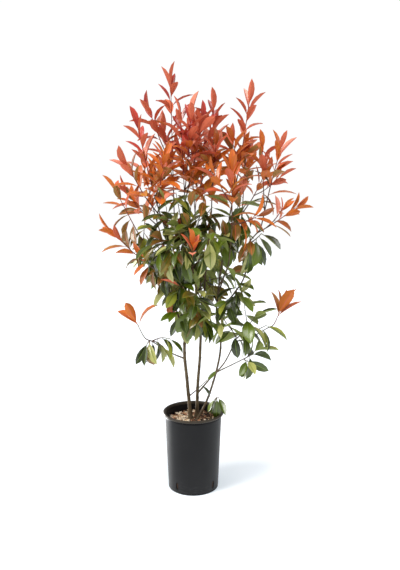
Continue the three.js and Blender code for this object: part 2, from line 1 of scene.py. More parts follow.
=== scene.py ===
# %% [markdown]
# # A young photinia in a nursery pot
# A shrub is mostly repetition with small differences: a few stems, each with boughs, each with
# shoots, each with leaves set round it in the same way. So this file states where the limbs go
# and grows everything else by rule. Every surface is worked out as a whole array of points with
# numpy. Lengths in the tables are millimetres, as a gardener would measure them, and Blender gets
# metres.

# %% Tools, and the plain solids that everything is fitted to
import math

import bpy
import numpy as np
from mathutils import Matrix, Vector


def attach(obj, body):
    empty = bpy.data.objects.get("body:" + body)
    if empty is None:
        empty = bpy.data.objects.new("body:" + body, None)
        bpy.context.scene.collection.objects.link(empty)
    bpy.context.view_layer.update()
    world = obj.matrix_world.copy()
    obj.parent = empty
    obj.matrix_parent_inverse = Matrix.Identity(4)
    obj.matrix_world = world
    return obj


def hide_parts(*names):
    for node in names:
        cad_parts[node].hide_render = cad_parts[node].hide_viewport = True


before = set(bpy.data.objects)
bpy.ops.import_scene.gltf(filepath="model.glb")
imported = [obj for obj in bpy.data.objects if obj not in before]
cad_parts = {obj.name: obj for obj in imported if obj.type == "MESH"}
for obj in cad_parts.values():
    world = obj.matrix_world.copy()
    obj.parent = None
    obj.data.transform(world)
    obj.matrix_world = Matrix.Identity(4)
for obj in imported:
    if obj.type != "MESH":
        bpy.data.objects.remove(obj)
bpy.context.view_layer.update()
MM = 0.001

# %% [markdown]
# ## Camera
# The camera stands a little above the middle of the crown and looks down, so the pot shows the
# mix inside its rim. It could be aimed at a target by a constraint, but it looks straight at the
# shrub, so one turn about X is enough. A lens on the long side keeps the perspective gentle.

# %% The camera
CAMERA = {"place": (0.0228, -2.40, 1.158), "down": 10.7, "lens": 46.86, "sensor": 36}

camera_data = bpy.data.cameras.new("camera")
camera_data.lens = CAMERA["lens"]
camera_data.sensor_width = CAMERA["sensor"]
camera = bpy.data.objects.new("camera", camera_data)
camera.location = CAMERA["place"]
camera.rotation_euler = (math.radians(90 - CAMERA["down"]), 0, 0)
bpy.context.scene.collection.objects.link(camera)
bpy.context.scene.camera = camera
print("camera at", tuple(camera.location))

# %% [markdown]
# ## Where the limbs go
# Three slim stems rise out of the mix, and a short shoot beside them. They could be grown by
# chance as well, but these few limbs give the shrub its bearing, so each is set down one by one. A
# stem is a list of places from its foot upwards, and its radius tapers from foot to tip. A bough
# leaves its carrier at a share of the carrier's length.

# %% Stems and boughs
MIX_TOP = 237
FOOT_HEIGHT = MIX_TOP + 0.3  # the stems start just clear of the mix


def stem(foot, radius, *path):
    """A stem's facts: where it stands on the mix, its foot and tip radius, and its places."""
    return dict(foot=foot, radius=radius, path=path)


STEMS = {
    "stem_left": stem((-8, 0), (6.2, 4.2), (-20, 0, 368), (-29, 0, 495), (-12, 4, 640)),
    "stem_middle": stem(
        (12, 20), (5.5, 3.8), (15, 20, 355), (22, 20, 445), (27, 20, 565), (36, 22, 660)
    ),
    "stem_right": stem(
        (11, -12), (3.7, 2.8),
        (48, -10, 315), (82, 0, 427), (92, 0, 515), (77, 0, 600), (88, 0, 735),
    ),
    "shoot_basal": stem((58, -20), (1.9, 1.4), (64, -28, 282), (78, -40, 330)),
}


def bough(on, at, radius, *path):
    """A bough's facts: its carrier, where along that, its foot and tip radius, and its places."""
    return dict(on=on, at=at, radius=radius, path=path)


BOUGHS = {
    "bough_left": bough("stem_left", 0.76, (3.4, 2.2), (-70, -20, 668), (-95, -30, 755)),
    "bough_right": bough(
        "stem_right", 0.82, (2.9, 1.9),
        (133, -10, 676), (170, -20, 745), (172, -20, 830), (218, -22, 893),
    ),
    "leader_centre": bough("stem_left", 1, (3.7, 2.4), (-16, 0, 760), (-20, 0, 890)),
    "leader_far_left": bough("stem_left", 0.95, (3.0, 2.1), (-48, -24, 745), (-84, -30, 875)),
    "leader_rear_left": bough("stem_left", 0.89, (3.0, 2.1), (-38, 34, 760), (-62, 44, 930)),
    "leader_middle": bough("stem_middle", 1, (3.3, 2.2), (46, 42, 800), (61, 60, 945)),
    "leader_right": bough("stem_right", 1, (2.8, 2.1), (106, 2, 845), (122, 0, 950)),
    "bough_back_left": bough("stem_left", 0.82, (2.8, 1.9), (-62, 88, 700), (-112, 150, 850)),
    "bough_back": bough("stem_middle", 0.84, (2.8, 1.9), (22, 112, 735), (8, 180, 890)),
    "bough_back_right": bough("stem_right", 0.91, (2.4, 1.8), (122, 82, 770), (165, 140, 885)),
    "bough_front": bough("stem_middle", 0.94, (2.4, 1.8), (14, -70, 700), (3, -146, 770)),
    "bough_front_right": bough("stem_right", 0.95, (2.3, 1.8), (112, -68, 780), (122, -104, 900)),
    "bough_low_left": bough("stem_left", 0.56, (2.4, 1.7), (-80, -20, 482), (-135, -40, 524)),
    "bough_low_right": bough(
        "stem_middle", 0.18, (2.7, 1.9), (60, -14, 392), (104, -34, 450), (141, -50, 534)
    ),
    "bough_rosette": bough("bough_low_right", 0.97, (1.9, 1.5), (182, -30, 530), (250, -6, 562)),
    "bough_lowest_right": bough("stem_right", 0.36, (2.1, 1.6), (120, -16, 432), (164, -30, 459)),
}
print(len(STEMS), "stems and", len(BOUGHS), "boughs")

# %% [markdown]
# ## Where the foliage goes
# Each mass of foliage hangs on one limb. Its first shoot is its stem, and the others leave that
# stem. Scattering leaves through a cloud would be quicker, but leaves that hang on shoots fall
# into sprays with gaps between them, as real ones do. A shoot has a number of leaves, a bare
# stretch at its foot, a sag, a hang for leaves that droop, and close, under 1 where its leaves
# stand in a narrow tuft. New growth is red for a length below its tip: long on the high, sunlit
# shoots and short low down, where red gives it.

# %% Masses of foliage


def shoot(to, leaves, bare, start=None, sag=0.06, hang=0.15, size=1.0, close=1.0, red=None):
    """One shoot: its tip, leaves and bare share, and where along the mass's stem it starts."""
    facts = dict(to=to, leaves=leaves, bare=bare, at=start)
    return facts | dict(sag=sag, hang=hang, size=size, close=close, red=red)


def mass(on, at, age, twigs, *shoots, finer=0):
    """One mass: its limb, the share along it, its age, its numbers of side twigs and of finer
    twigs on those, and its shoots."""
    return dict(on=on, at=at, age=age, twigs=twigs, shoots=shoots, finer=finer)


YOUNG, GREEN = "young_foliage", "green_foliage"
MASSES = {
    "foliage_top_centre": mass(
        "leader_centre", 1, YOUNG, 3,
        shoot((-37, -38, 1238), 16, 0.3),
        shoot((-4, -62, 1240), 15, 0.2, 0.38),
        shoot((27, -22, 1226), 15, 0.22, 0.3),
        finer=2,
    ),
    "foliage_top_left": mass(
        "leader_rear_left", 1, YOUNG, 0,
        shoot((-70, 30, 1342), 12, 0.6),
        shoot((-136, 50, 1255), 9, 0.45, 0.44),
        shoot((-92, 92, 1190), 9, 0.35, 0.3),
    ),
    "foliage_upper_left": mass(
        "leader_far_left", 1, YOUNG, 1,
        shoot((-168, -50, 1200), 15, 0.28),
        shoot((-196, -96, 1088), 11, 0.35, 0.2),
        shoot((-88, -98, 1118), 12, 0.2, 0.35),
    ),
    "foliage_far_left": mass(
        "bough_left", 1, YOUNG, 1,
        shoot((-244, 10, 1002), 13, 0.25, sag=0.05, hang=2.0),
    ),
    "foliage_far_left_low": mass(
        "bough_left", 0.9, YOUNG, 0,
        shoot((-254, -60, 884), 9, 0.3, sag=0.04, hang=0.3, close=0.75, red=115),
        shoot((-154, -74, 806), 5, 0.3, 0.15, hang=1.6, size=0.85, red=80),
    ),
    "foliage_top_right": mass(
        "leader_middle", 1, YOUNG, 2,
        shoot((67, 80, 1262), 14, 0.35),
        shoot((72, -48, 1150), 13, 0.2, 0.22),
        shoot((20, 108, 1196), 11, 0.25, 0.3),
    ),
    "foliage_upper_right": mass(
        "leader_right", 1, YOUNG, 2,
        shoot((178, 20, 1282), 16, 0.4),
        shoot((130, 72, 1160), 9, 0.3, 0.25),
    ),
    "foliage_front_right": mass(
        "bough_front_right", 1, YOUNG, 1,
        shoot((121, -104, 1078), 12, 0.25),
        shoot((196, -104, 938), 7, 0.4, 0.1, hang=0.7),
    ),
    "foliage_right_high": mass(
        "bough_right", 1, YOUNG, 1,
        shoot((274, -34, 1140), 11, 0.4, sag=-0.04),
        shoot((222, 8, 1140), 6, 0.55, 0.2, size=0.9),
    ),
    "foliage_right_side": mass(
        "bough_right", 0.94, YOUNG, 0,
        shoot((330, 0, 958), 7, 0.4, sag=0.03, size=0.8, red=170),
        shoot((284, -62, 962), 6, 0.45, 0.25, size=0.75, close=0.8, red=110),
    ),
    "foliage_right_hanging": mass(
        "bough_right", 0.8, GREEN, 0,
        shoot((218, -60, 882), 5, 0.15, hang=2.0, size=1.15),
        shoot((180, -74, 866), 4, 0.3, 0.1, hang=2.0, size=1.15),
    ),
    "foliage_middle_left": mass(
        "leader_far_left", 0.45, GREEN, 2,
        shoot((-116, -84, 905), 9, 0.25, hang=1.8),
        shoot((-74, -130, 850), 8, 0.25, 0.3, hang=2.0),
        shoot((-82, -92, 968), 8, 0.3, 0.25, hang=0.5),
        finer=3,
    ),
    "foliage_middle_front": mass(
        "bough_front", 1, GREEN, 2,
        shoot((-44, -138, 900), 9, 0.25, hang=1.9, size=0.95),
        shoot((66, -142, 884), 9, 0.25, 0.1, hang=1.9, size=0.95),
        shoot((0, -170, 856), 6, 0.66, 0.04, hang=0, size=0.86, close=0.42, red=110),
        finer=2,
    ),
    "foliage_middle_centre": mass(
        "leader_centre", 0.55, GREEN, 3,
        shoot((-6, -92, 965), 9, 0.25, hang=0.4),
        shoot((-52, -84, 1012), 9, 0.3, 0.3, hang=1.9),
        shoot((38, -66, 1004), 9, 0.3, 0.25, hang=2.0),
        finer=4,
    ),
    "foliage_middle_right": mass(
        "leader_right", 0.4, GREEN, 2,
        shoot((150, 34, 972), 9, 0.3, hang=1.9),
        shoot((136, -52, 932), 7, 0.3, 0.3, hang=2.0),
        shoot((104, -84, 880), 7, 0.3, 0.15, hang=0.7),
        finer=2,
    ),
    "foliage_lower_left": mass(
        "bough_left", 0.45, GREEN, 1,
        shoot((-80, -70, 800), 8, 0.2, hang=1.6),
        shoot((-36, -96, 726), 7, 0.25, 0.3, hang=1.2),
        finer=2,
    ),
    "foliage_lower_centre": mass(
        "stem_left", 0.86, GREEN, 2,
        shoot((14, -112, 708), 9, 0.3, hang=1.4),
        shoot((44, -76, 608), 7, 0.2, 0.3, hang=1.9),
        shoot((-44, -62, 632), 6, 0.2, 0.1, hang=1.6),
        shoot((8, 78, 650), 6, 0.3, 0.05, hang=1.1),
        finer=2,
    ),
    "foliage_lower_right": mass(
        "bough_right", 0.2, GREEN, 1,
        shoot((158, -84, 700), 6, 0.25, hang=1.0, size=0.9),
        shoot((104, -92, 664), 7, 0.2, 0.35, hang=0.9, size=0.9),
    ),
    "foliage_low_left": mass(
        "bough_low_left", 1, GREEN, 0,
        shoot((-182, -50, 586), 3, 0.9, sag=0.22, hang=0, size=1.05, close=0.4, red=130),
        shoot((-98, -62, 512), 5, 0.1, 0.05, sag=-0.12, hang=1.7, size=0.95),
        shoot((-150, -72, 520), 4, 0.2, 0.1, sag=-0.15, hang=1.5, size=1.0),
        shoot((-74, -66, 540), 4, 0.3, 0.02, sag=-0.1, hang=1.7, size=0.9),
    ),
    "foliage_low_right": mass(
        "bough_low_right", 1, GREEN, 2,
        shoot((202, -70, 618), 9, 0.1, hang=1.0),
        shoot((120, -96, 590), 4, 0.3, 0.05, hang=1.2),
        shoot((238, -64, 584), 4, 0.4, 0.3, hang=1.8, size=1.05),
    ),
    "foliage_rosette": mass(
        "bough_rosette", 1, YOUNG, 0,
        shoot((286, 0, 612), 7, 0.84, sag=0.25, hang=0, size=1.2, close=0.5, red=130),
    ),
    "foliage_lowest_right": mass(
        "bough_lowest_right", 1, GREEN, 0,
        shoot((208, -50, 498), 6, 0.1, hang=0.9),
        shoot((178, -82, 470), 4, 0.3, 0.1, hang=1.0, size=0.9),
    ),
    "foliage_low_twig": mass(
        "stem_left", 0.21, GREEN, 0,
        shoot((46, -30, 388), 2, 0.7, sag=0.02, hang=0.2, size=0.6),
    ),
    "foliage_basal": mass(
        "shoot_basal", 1, GREEN, 0,
        shoot((84, -60, 338), 2, 0.1, hang=2.2, size=0.85),
        shoot((70, -48, 327), 2, 0.5, 0.1, hang=2.2, size=0.65),
    ),
    "foliage_back_left": mass(
        "bough_back_left", 1, YOUNG, 3,
        shoot((-170, 170, 1090), 13, 0.25),
        shoot((-96, 196, 1120), 12, 0.3, 0.25),
        shoot((-214, 140, 990), 9, 0.35, 0.15),
        finer=2,
    ),
    "foliage_back_centre": mass(
        "bough_back", 1, YOUNG, 3,
        shoot((-10, 210, 1180), 13, 0.3),
        shoot((62, 196, 1140), 12, 0.3, 0.3),
        shoot((14, 266, 1036), 10, 0.3, 0.15, size=0.8),
        finer=2,
    ),
    "foliage_back_right": mass(
        "bough_back_right", 1, YOUNG, 2,
        shoot((176, 150, 1130), 11, 0.3),
        shoot((236, 128, 1050), 8, 0.4, 0.2),
        shoot((150, 226, 1000), 9, 0.3, 0.15),
    ),
    "foliage_back_lower_left": mass(
        "bough_back_left", 0.5, GREEN, 3,
        shoot((-132, 100, 808), 9, 0.25, hang=1.2),
        shoot((-60, 160, 750), 10, 0.2, 0.3, hang=1.0),
        shoot((-88, 66, 750), 5, 0.25, 0.2, hang=1.3),
        finer=3,
    ),
    "foliage_back_lower_right": mass(
        "bough_back", 0.45, GREEN, 3,
        shoot((84, 176, 790), 10, 0.2, hang=1.0),
        shoot((12, 200, 720), 9, 0.2, 0.3, hang=1.0),
        shoot((66, 92, 672), 8, 0.25, 0.1, hang=1.1),
        finer=3,
    ),
}
print(len(MASSES), "masses of foliage")

# %% [markdown]
# ## Curves
# A limb isn't straight and has no corners. A Bezier curve would need handles set at every place.
# A uniform Catmull-Rom curve needs none: it passes through its places and leaves each one in the
# direction from the place before to the place after, so a few well chosen places make a natural
# bend.

# %% A smooth curve through places
LENGTH_STEPS = 200  # straight steps that a curve's length is measured in


def unit(vectors):
    """Vectors scaled to length 1."""
    return vectors / np.linalg.norm(vectors, axis=-1, keepdims=True)


def mix(a, b, share):
    """The value a share of the way from a to b."""
    return a + (b - a) * share


class Curve:
    """A curve through places. Each stretch is a cubic whose slope at either end is half the step
    between that end's two neighbours, and past the ends the first and last steps are repeated."""

    def __init__(self, places):
        places = np.array(places, float)
        before, after = 2 * places[0] - places[1], 2 * places[-1] - places[-2]
        self.padded = np.vstack([before, places, after])
        self.stretches = len(places) - 1
        steps = np.diff(self.at(np.linspace(0, 1, LENGTH_STEPS + 1)), axis=0)
        self.length = np.linalg.norm(steps, axis=1).sum()

    def at(self, share):
        """The points at shares of the curve, 0 at its foot and 1 at its tip."""
        place = np.clip(share, 0, 1) * self.stretches
        nth = np.minimum(place.astype(int), self.stretches - 1)
        w = (place - nth)[..., None]
        a, b, c, d = (self.padded[nth + k] for k in range(4))
        slope_b, slope_c = (c - a) / 2, (d - b) / 2
        square = 3 * (c - b) - 2 * slope_b - slope_c
        cube = 2 * (b - c) + slope_b + slope_c
        return b + slope_b * w + square * w**2 + cube * w**3

    def frame(self, share):
        """Three axes at each share: along the curve, from a point just before to one just after,
        and two across it, the first square to X or Y, whichever the curve goes less far along."""
        share = np.asarray(share, float)
        step = 1e-4
        along = unit(self.at(share + step) - self.at(share - step))
        span = np.abs(self.padded[-2] - self.padded[1])
        reference = np.array([1.0, 0, 0] if span[1] > span[0] else [0, 1.0, 0])
        across = unit(np.cross(reference, along))
        return along, across, np.cross(along, across)


print("a straight curve of 100 mm measures", round(Curve([(0, 0, 0), (100, 0, 0)]).length, 3))

# %% [markdown]
# ## Chance
# No two leaves of a shrub are alike, so chance moves each of them a little. numpy has a good
# source of chance, and the potting mix uses it further down. But the plain solids of the foliage
# were grown by the same rules as here, and every leaf has to land where its solid has it. So
# shoots and leaves draw their chances from a rule that is short enough to be written anywhere.

# %% Seeded chance
SPREAD_SEEDS, FACTOR, STEP = 2654435761, 1664525, 1013904223
WORD = 2**32


def seeded(seed):
    """A repeatable stream of numbers from 0 to 1: each state is the last one times a factor, plus
    a step, kept to 32 bits. Seeds are spread first, so that neighbours start far apart."""
    state = (seed + 1) * SPREAD_SEEDS % WORD
    while True:
        state = (state * FACTOR + STEP) % WORD
        yield state / WORD


first_chances = [round(chance, 3) for chance, _ in zip(seeded(0), range(3))]
print("the first chances of seed 0:", first_chances)

# %% The limbs' curves
limbs = {}
for name, facts in STEMS.items():
    foot = (*facts["foot"], FOOT_HEIGHT)
    limbs[name] = dict(curve=Curve([foot, *facts["path"]]), radius=facts["radius"])
for name, facts in BOUGHS.items():
    start = limbs[facts["on"]]["curve"].at(np.array(float(facts["at"])))
    limbs[name] = dict(curve=Curve([start, *facts["path"]]), radius=facts["radius"])
print("longest limb:", round(max(limb["curve"].length for limb in limbs.values())), "mm")

# %% [markdown]
# ## Meshes from arrays
# Every piece below ends in the same step: points and faces go into a mesh, each face gets its
# material, and faces are smoothed except along edges that should stay crisp. Modelling tools
# could make these shapes too, but arrays of points keep each shape's formula in sight, and make a
# thousand leaves in one go.

# %% Making a piece
CUBIC_CM = 1e6  # in a cubic metre


def make_object(name, points, faces, materials, which=0, crisp=40):
    """A mesh object from points in millimetres. which gives each face's material, and an edge
    where the surface turns by more than crisp degrees stays sharp."""
    mesh = bpy.data.meshes.new(name)
    mesh.from_pydata(np.asarray(points) * MM, [], faces)
    for material in materials:
        mesh.materials.append(material)
    count = len(mesh.polygons)
    mesh.polygons.foreach_set("material_index", np.broadcast_to(which, count).astype(np.int32))
    mesh.polygons.foreach_set("use_smooth", np.ones(count, bool))
    mesh.set_sharp_from_angle(angle=math.radians(crisp))
    made = bpy.data.objects.new(name, mesh)
    bpy.context.scene.collection.objects.link(made)
    return made


def volume_of(mesh):
    """A closed mesh's volume in cubic centimetres: a sixth of the sum, over its triangles, of the
    first corner's dot product with the cross product of the others. One that is inside out has
    less than nothing."""
    mesh.calc_loop_triangles()
    corners = np.empty(len(mesh.loop_triangles) * 3, np.int32)
    mesh.loop_triangles.foreach_get("vertices", corners)
    places = np.empty(len(mesh.vertices) * 3)
    mesh.vertices.foreach_get("co", places)
    a, b, c = places.reshape(-1, 3)[corners.reshape(-1, 3)].transpose(1, 0, 2)
    return (a * np.cross(b, c)).sum() / 6 * CUBIC_CM


def make_piece(name, points, faces, materials, slot, which=0, crisp=40):
    """A piece of the shrub: a mesh object that rides on the pot's body. Its slot is not used."""
    made = make_object(name, points, faces, materials, which, crisp)
    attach(made, "root")
    volume = volume_of(made.data)
    print(f"{name}: {len(made.data.loop_triangles)} triangles, {volume:.0f} cubic cm")
    return made


def ring_faces(rows, sides, first=0):
    """Faces of a closed tube of points in rows: quads, and a face over each end."""
    ring = np.arange(rows * sides).reshape(rows, sides) + first
    onward = np.roll(ring, -1, axis=1)
    quads = np.stack([ring[:-1], onward[:-1], onward[1:], ring[1:]], -1)
    return quads.reshape(-1, 4).tolist() + [ring[0, ::-1].tolist(), ring[-1].tolist()]


def tube_points(curve, shares, radius, sides):
    """Points of a tube: round each place on the curve, the two axes across it times the cosine
    and the sine of the angle, times the radius there, which may change with the angle."""
    along, across, third = curve.frame(shares)
    angle = np.linspace(0, 2 * np.pi, sides, endpoint=False)
    cosine, sine = np.cos(angle)[None, :, None], np.sin(angle)[None, :, None]
    spokes = across[:, None] * cosine + third[:, None] * sine
    radius = np.broadcast_to(radius, (len(shares), sides))
    return (curve.at(shares)[:, None] + spokes * radius[..., None]).reshape(-1, 3)


print("mesh tools ready")

# %% [markdown]
# ## Shader maths
# A material is a tree of nodes. It could be wired up by hand, a node and a link at a time, but it
# reads best as a formula. One small class holds a value on its way through the tree, and each of
# its operators adds the Math node that works it out.

# %% Shader values and finishes


class Value:
    """A shader value, which a formula can add to, subtract from and multiply."""

    def __init__(self, finish, socket):
        self.finish, self.socket = finish, socket

    def math(self, operation, *values):
        sockets = dict(enumerate(values))
        return self.finish.node("ShaderNodeMath", sockets, operation=operation)

    def __add__(self, other):
        return self.math("ADD", self, other)

    def __sub__(self, other):
        return self.math("SUBTRACT", self, other)

    def __rsub__(self, other):
        return self.math("SUBTRACT", other, self)

    def __mul__(self, other):
        return self.math("MULTIPLY", self, other)

    __radd__, __rmul__ = __add__, __mul__


class Finish:
    """A material or a world, and its one method for adding any node."""

    def __init__(self, owner):
        owner.use_nodes = True
        self.owner, self.tree = owner, owner.node_tree

    def node(self, kind, sockets=(), output=0, stops=(), **settings):
        """Adds a node: first its settings and ramp stops, then its sockets' values or links."""
        made = self.tree.nodes.new(kind)
        for key, value in settings.items():
            setattr(made, key, value)
        for nth, (place, color) in enumerate(stops):
            elements = made.color_ramp.elements
            stop = elements[nth] if nth < len(elements) else elements.new(place)
            stop.position, stop.color = place, color
        for key, value in dict(sockets).items():
            self.feed(made.inputs[key], value)
        return Value(self, made.outputs[output])

    def feed(self, socket, value):
        """A socket takes another node's value or a plain one."""
        if isinstance(value, Value):
            self.tree.links.new(value.socket, socket)
        else:
            socket.default_value = value

    def ramp(self, value, low, high):
        """0 below low, 1 above high, and straight between them."""
        return self.node("ShaderNodeMapRange", {"Value": value, "From Min": low, "From Max": high})

    def blend(self, share, first, second):
        """A colour that goes from the first to the second as share goes from 0 to 1."""
        sockets = {0: share, 6: first, 7: second}
        return self.node("ShaderNodeMix", sockets, output=2, data_type="RGBA")

    def surface(self, **values):
        """Sets the surface shader's sockets: base_color means Base Color."""
        shader = self.tree.nodes["Principled BSDF"]
        for key, value in values.items():
            self.feed(shader.inputs[key.replace("_", " ").title().replace("Ior", "IOR")], value)
        return self.owner


def new_finish(name):
    """A new material, ready for its nodes."""
    return Finish(bpy.data.materials.new(name))


SCREEN_GAMMA = 2.2


def color(red, green, blue):
    """A screen colour of 0 to 255 as the linear light that shaders use: each channel, as a share,
    raised to the screen's gamma."""
    return (*(np.array([red, green, blue]) / 255) ** SCREEN_GAMMA, 1.0)


print("shader tools ready")

# %% [markdown]
# ## Growing the shoots
# The rule is the one that a pruner reads off any twig: leaves and side twigs sit round their stem
# a golden angle apart, so none shades the next. A particle system could scatter twigs, but it
# knows nothing of that order. Chance only loosens the rule, from a seed, so that the shrub is the
# same each time.

# %% Shoots, side twigs and finer twigs
TWIG = {"foot": 2.1, "tip": 1.15, "sag": 0.06}  # two radii, and a share of the length
SIDE_TWIG = dict(length=(50, 100), lean=(35, 58), lift=0.5, reach=(0.3, 0.75), leaves=6, bare=0.3)
FINER_TWIG = dict(length=(26, 52), lean=(38, 62), lift=0.3, reach=(0.35, 0.85), leaves=4, bare=0.35)
FINER_RADIUS = (0.9, 0.6)  # at foot and tip
GOLDEN_ANGLE = 137.508  # degrees
RED_LENGTH = ((880, 1000, 1150, 1300), (90, 120, 190, 330))  # a tip's height, and how far it is red
SHOOTS_A_MASS = 10  # more than any mass has in its table, so that every spray gets its own number
# What a side twig takes over from the shoot that it grows on.
HANDED_DOWN = ("hang", "size", "close", "red", "age", "spray", "leader_tip")


def shoot_curve(foot, tip, sag):
    """From foot to tip, with a middle that hangs below the straight line by a share of its
    length, or rises above it where the sag is less than nothing."""
    middle = (foot + tip) / 2
    middle[2] -= sag * np.linalg.norm(tip - foot)
    return Curve([foot, middle, tip])


def side_twigs(parents, count, kind, chance, radius):
    """Twigs that leave the parents in turn, spread along them, and round by the golden angle."""
    grown = []
    for i in range(count):
        parent = parents[i % len(parents)]
        row = (i // len(parents) + next(chance)) / math.ceil(count / len(parents))
        share = mix(*kind["reach"], row)
        along, across, third = parent["curve"].frame(share)
        turn = math.radians(i * GOLDEN_ANGLE + 360 * next(chance))
        lean = math.radians(mix(*kind["lean"], next(chance)))
        sideways = across * math.cos(turn) + third * math.sin(turn)
        aim = along * math.cos(lean) + sideways * math.sin(lean)
        aim[2] += kind["lift"]
        foot = parent["curve"].at(np.array(share))
        tip = foot + unit(aim) * mix(*kind["length"], next(chance))
        own = dict(curve=shoot_curve(foot, tip, TWIG["sag"]), radius=radius)
        own |= {key: kind[key] for key in ("leaves", "bare")}
        grown.append(own | {key: parent[key] for key in HANDED_DOWN})
    return grown


def shoots_of(nth, facts):
    """A mass's shoots: those in its table, then side twigs, then finer twigs on all of them."""
    chance = seeded(nth)
    grown = []
    for number, given in enumerate(facts["shoots"]):
        parent = grown[0]["curve"] if grown else limbs[facts["on"]]["curve"]
        foot = parent.at(np.array(float(given["at"] if grown else facts["at"])))
        tip = np.array(given["to"], float)
        red = given["red"]
        if red is None:
            red = np.interp(tip[2], *RED_LENGTH) if facts["age"] == YOUNG else 0
        kept = {key: given[key] for key in ("leaves", "bare", "hang", "size", "close")}
        kept |= dict(red=red, age=facts["age"], spray=nth * SHOOTS_A_MASS + number, leader_tip=tip)
        curve = shoot_curve(foot, tip, given["sag"])
        grown.append(dict(curve=curve, radius=(TWIG["foot"], TWIG["tip"]), **kept))
    slim = (mix(TWIG["foot"], TWIG["tip"], 0.5), TWIG["tip"])
    grown += side_twigs(list(grown), facts["twigs"], SIDE_TWIG, chance, slim)
    return grown + side_twigs(list(grown), facts["finer"], FINER_TWIG, chance, FINER_RADIUS)


sprays = {name: shoots_of(nth, facts) for nth, (name, facts) in enumerate(MASSES.items())}
shoots = [one for grown in sprays.values() for one in grown]
print(len(shoots), "shoots and twigs")

# %% [markdown]
# ## Leaf tints
# New photinia leaves open scarlet, pass through coral, copper and bronze as they harden, and end
# a glossy dark green. A gradient over the height would tint them too, but one leaf would then
# fade into the next. So each leaf gets one plain tint: how far it is from the tip of its spray
# gives its stage, and each spray leans a little warmer or darker than its neighbours.

# %% Tints and their stages
TINTS = {
    "crimson": (154, 42, 30),
    "scarlet": (194, 66, 54),
    "flame": (218, 106, 66),
    "coral": (236, 148, 120),
    "orange": (212, 110, 36),
    "copper": (162, 90, 36),
    "amber": (190, 124, 44),
    "bronze": (124, 92, 32),
    "olive": (118, 100, 24),
    "lime": (154, 158, 56),
    "pale": (168, 168, 98),
    "leaf": (94, 112, 24),
    "moss": (67, 82, 14),
    "deep": (44, 55, 3),
}
GREENS = (
    "leaf", "moss", "deep", "olive", "moss", "pale",
    "bronze", "leaf", "lime", "deep", "pale", "deep",
)
ACCENTS = ("crimson", "coral", "copper")
ACCENT_SHARE = 0.04  # how many of the green leaves still open red
ACCENT_FROM = 690  # millimetres, for a leader's tip: lower ones have none of those
STAGES_HIGH = [
    (0.35, ("crimson", "scarlet", "flame", "coral", "scarlet", "coral")),
    (0.60, ("flame", "orange", "orange", "coral", "orange", "crimson")),
    (0.90, ("orange", "copper", "orange", "amber", "amber")),
    (1.20, ("bronze", "amber", "copper", "olive")),
    (1.60, ("olive", "bronze", "olive", "lime")),
    (math.inf, GREENS),
]
STAGES_MIDDLE = [
    (0.50, ("orange", "flame", "coral", "orange", "copper", "orange")),
    (0.90, ("orange", "amber", "copper", "orange", "bronze")),
    (1.30, ("amber", "olive", "bronze", "copper")),
    (1.70, ("olive", "bronze", "lime")),
    (math.inf, GREENS),
]
STAGES_LOW = [
    (0.60, ("orange", "orange", "amber", "orange", "orange")),
    (0.95, ("amber", "orange", "copper")),
    (1.30, ("amber", "bronze", "olive")),
    (1.70, ("olive", "lime", "bronze")),
    (math.inf, GREENS),
]
HIGH_FROM, MIDDLE_FROM = 1170, 800  # millimetres, for a leader's tip: lower ones open more orange
SPRAY_STEP = 0.618  # the golden share, by which each spray leans further round its tints
LEAF_CHANCE = 0.8  # how far chance moves one leaf round the tints of its stage
print(len(TINTS), "tints, in", len(STAGES_HIGH), "stages on the highest leaders")

# %% Leaf finishes
UNDERSIDES = {
    "under_red": (208, 106, 76),
    "under_orange": (202, 110, 46),
    "under_bronze": (156, 116, 60),
    "under_green": (125, 134, 68),
}
RIBS = {"rib_red": (204, 100, 70), "rib_green": (110, 132, 56)}
WAX = {"upper": (0.4, 0.75), "under": (0.6, 0.0), "rib": (0.5, 0.1)}  # roughness and coat weight


def leaf_finish(name, screen_color, roughness, coat):
    """A leaf side: one plain colour under a thin waxy coat."""
    sockets = dict(base_color=color(*screen_color), roughness=roughness, specular_ior_level=0.3)
    return new_finish(name).surface(coat_weight=coat, coat_roughness=0.17, **sockets)


leaf_materials, tint_number = [], {}
for side, tints in (("upper", TINTS), ("under", UNDERSIDES), ("rib", RIBS)):
    for name, tint in tints.items():
        tint_number[name] = len(leaf_materials)
        leaf_materials.append(leaf_finish("leaf_" + name, tint, *WAX[side]))
print(len(leaf_materials), "leaf finishes")

# %% The tint of one leaf


def stages_of(tip_height):
    """The stages of a leader by the height of its tip: a lower one opens more orange."""
    if tip_height > HIGH_FROM:
        return STAGES_HIGH
    return STAGES_MIDDLE if tip_height > MIDDLE_FROM else STAGES_LOW


def tint_of(one, below_tip, chance):
    """The tint of one leaf: its distance from its leader's tip over the red length is its age,
    and within that stage the spray's own leaning and a little chance pick the tint. Where nothing
    is red by rule, a small share of the leaves still is, but not low down."""
    tip_height = one["leader_tip"][2]
    if one["red"]:
        stages = stages_of(tip_height)
        choices = next(names for limit, names in stages if below_tip <= limit * one["red"])
    else:
        choices = ACCENTS if chance < ACCENT_SHARE and tip_height > ACCENT_FROM else GREENS
    leaning = (one["spray"] * SPRAY_STEP) % 1
    return choices[int((leaning + LEAF_CHANCE * (chance - 0.5)) % 1 * len(choices))]


print("down the first shoot:", [tint_of(shoots[0], below, 0.5) for below in (0, 100, 200, 300)])

# %% [markdown]
# ## Placing the leaves
# Low on a shoot the leaves stand out and droop, and towards its tip they close up into an upright
# tuft. Each leaf could be an object of its own that is turned into place, but a thousand objects
# are slow. Instead the facts of a shoot's leaves are columns of numbers: a root, a direction, a
# way to face and a length for each. The face looks up along the shoot.

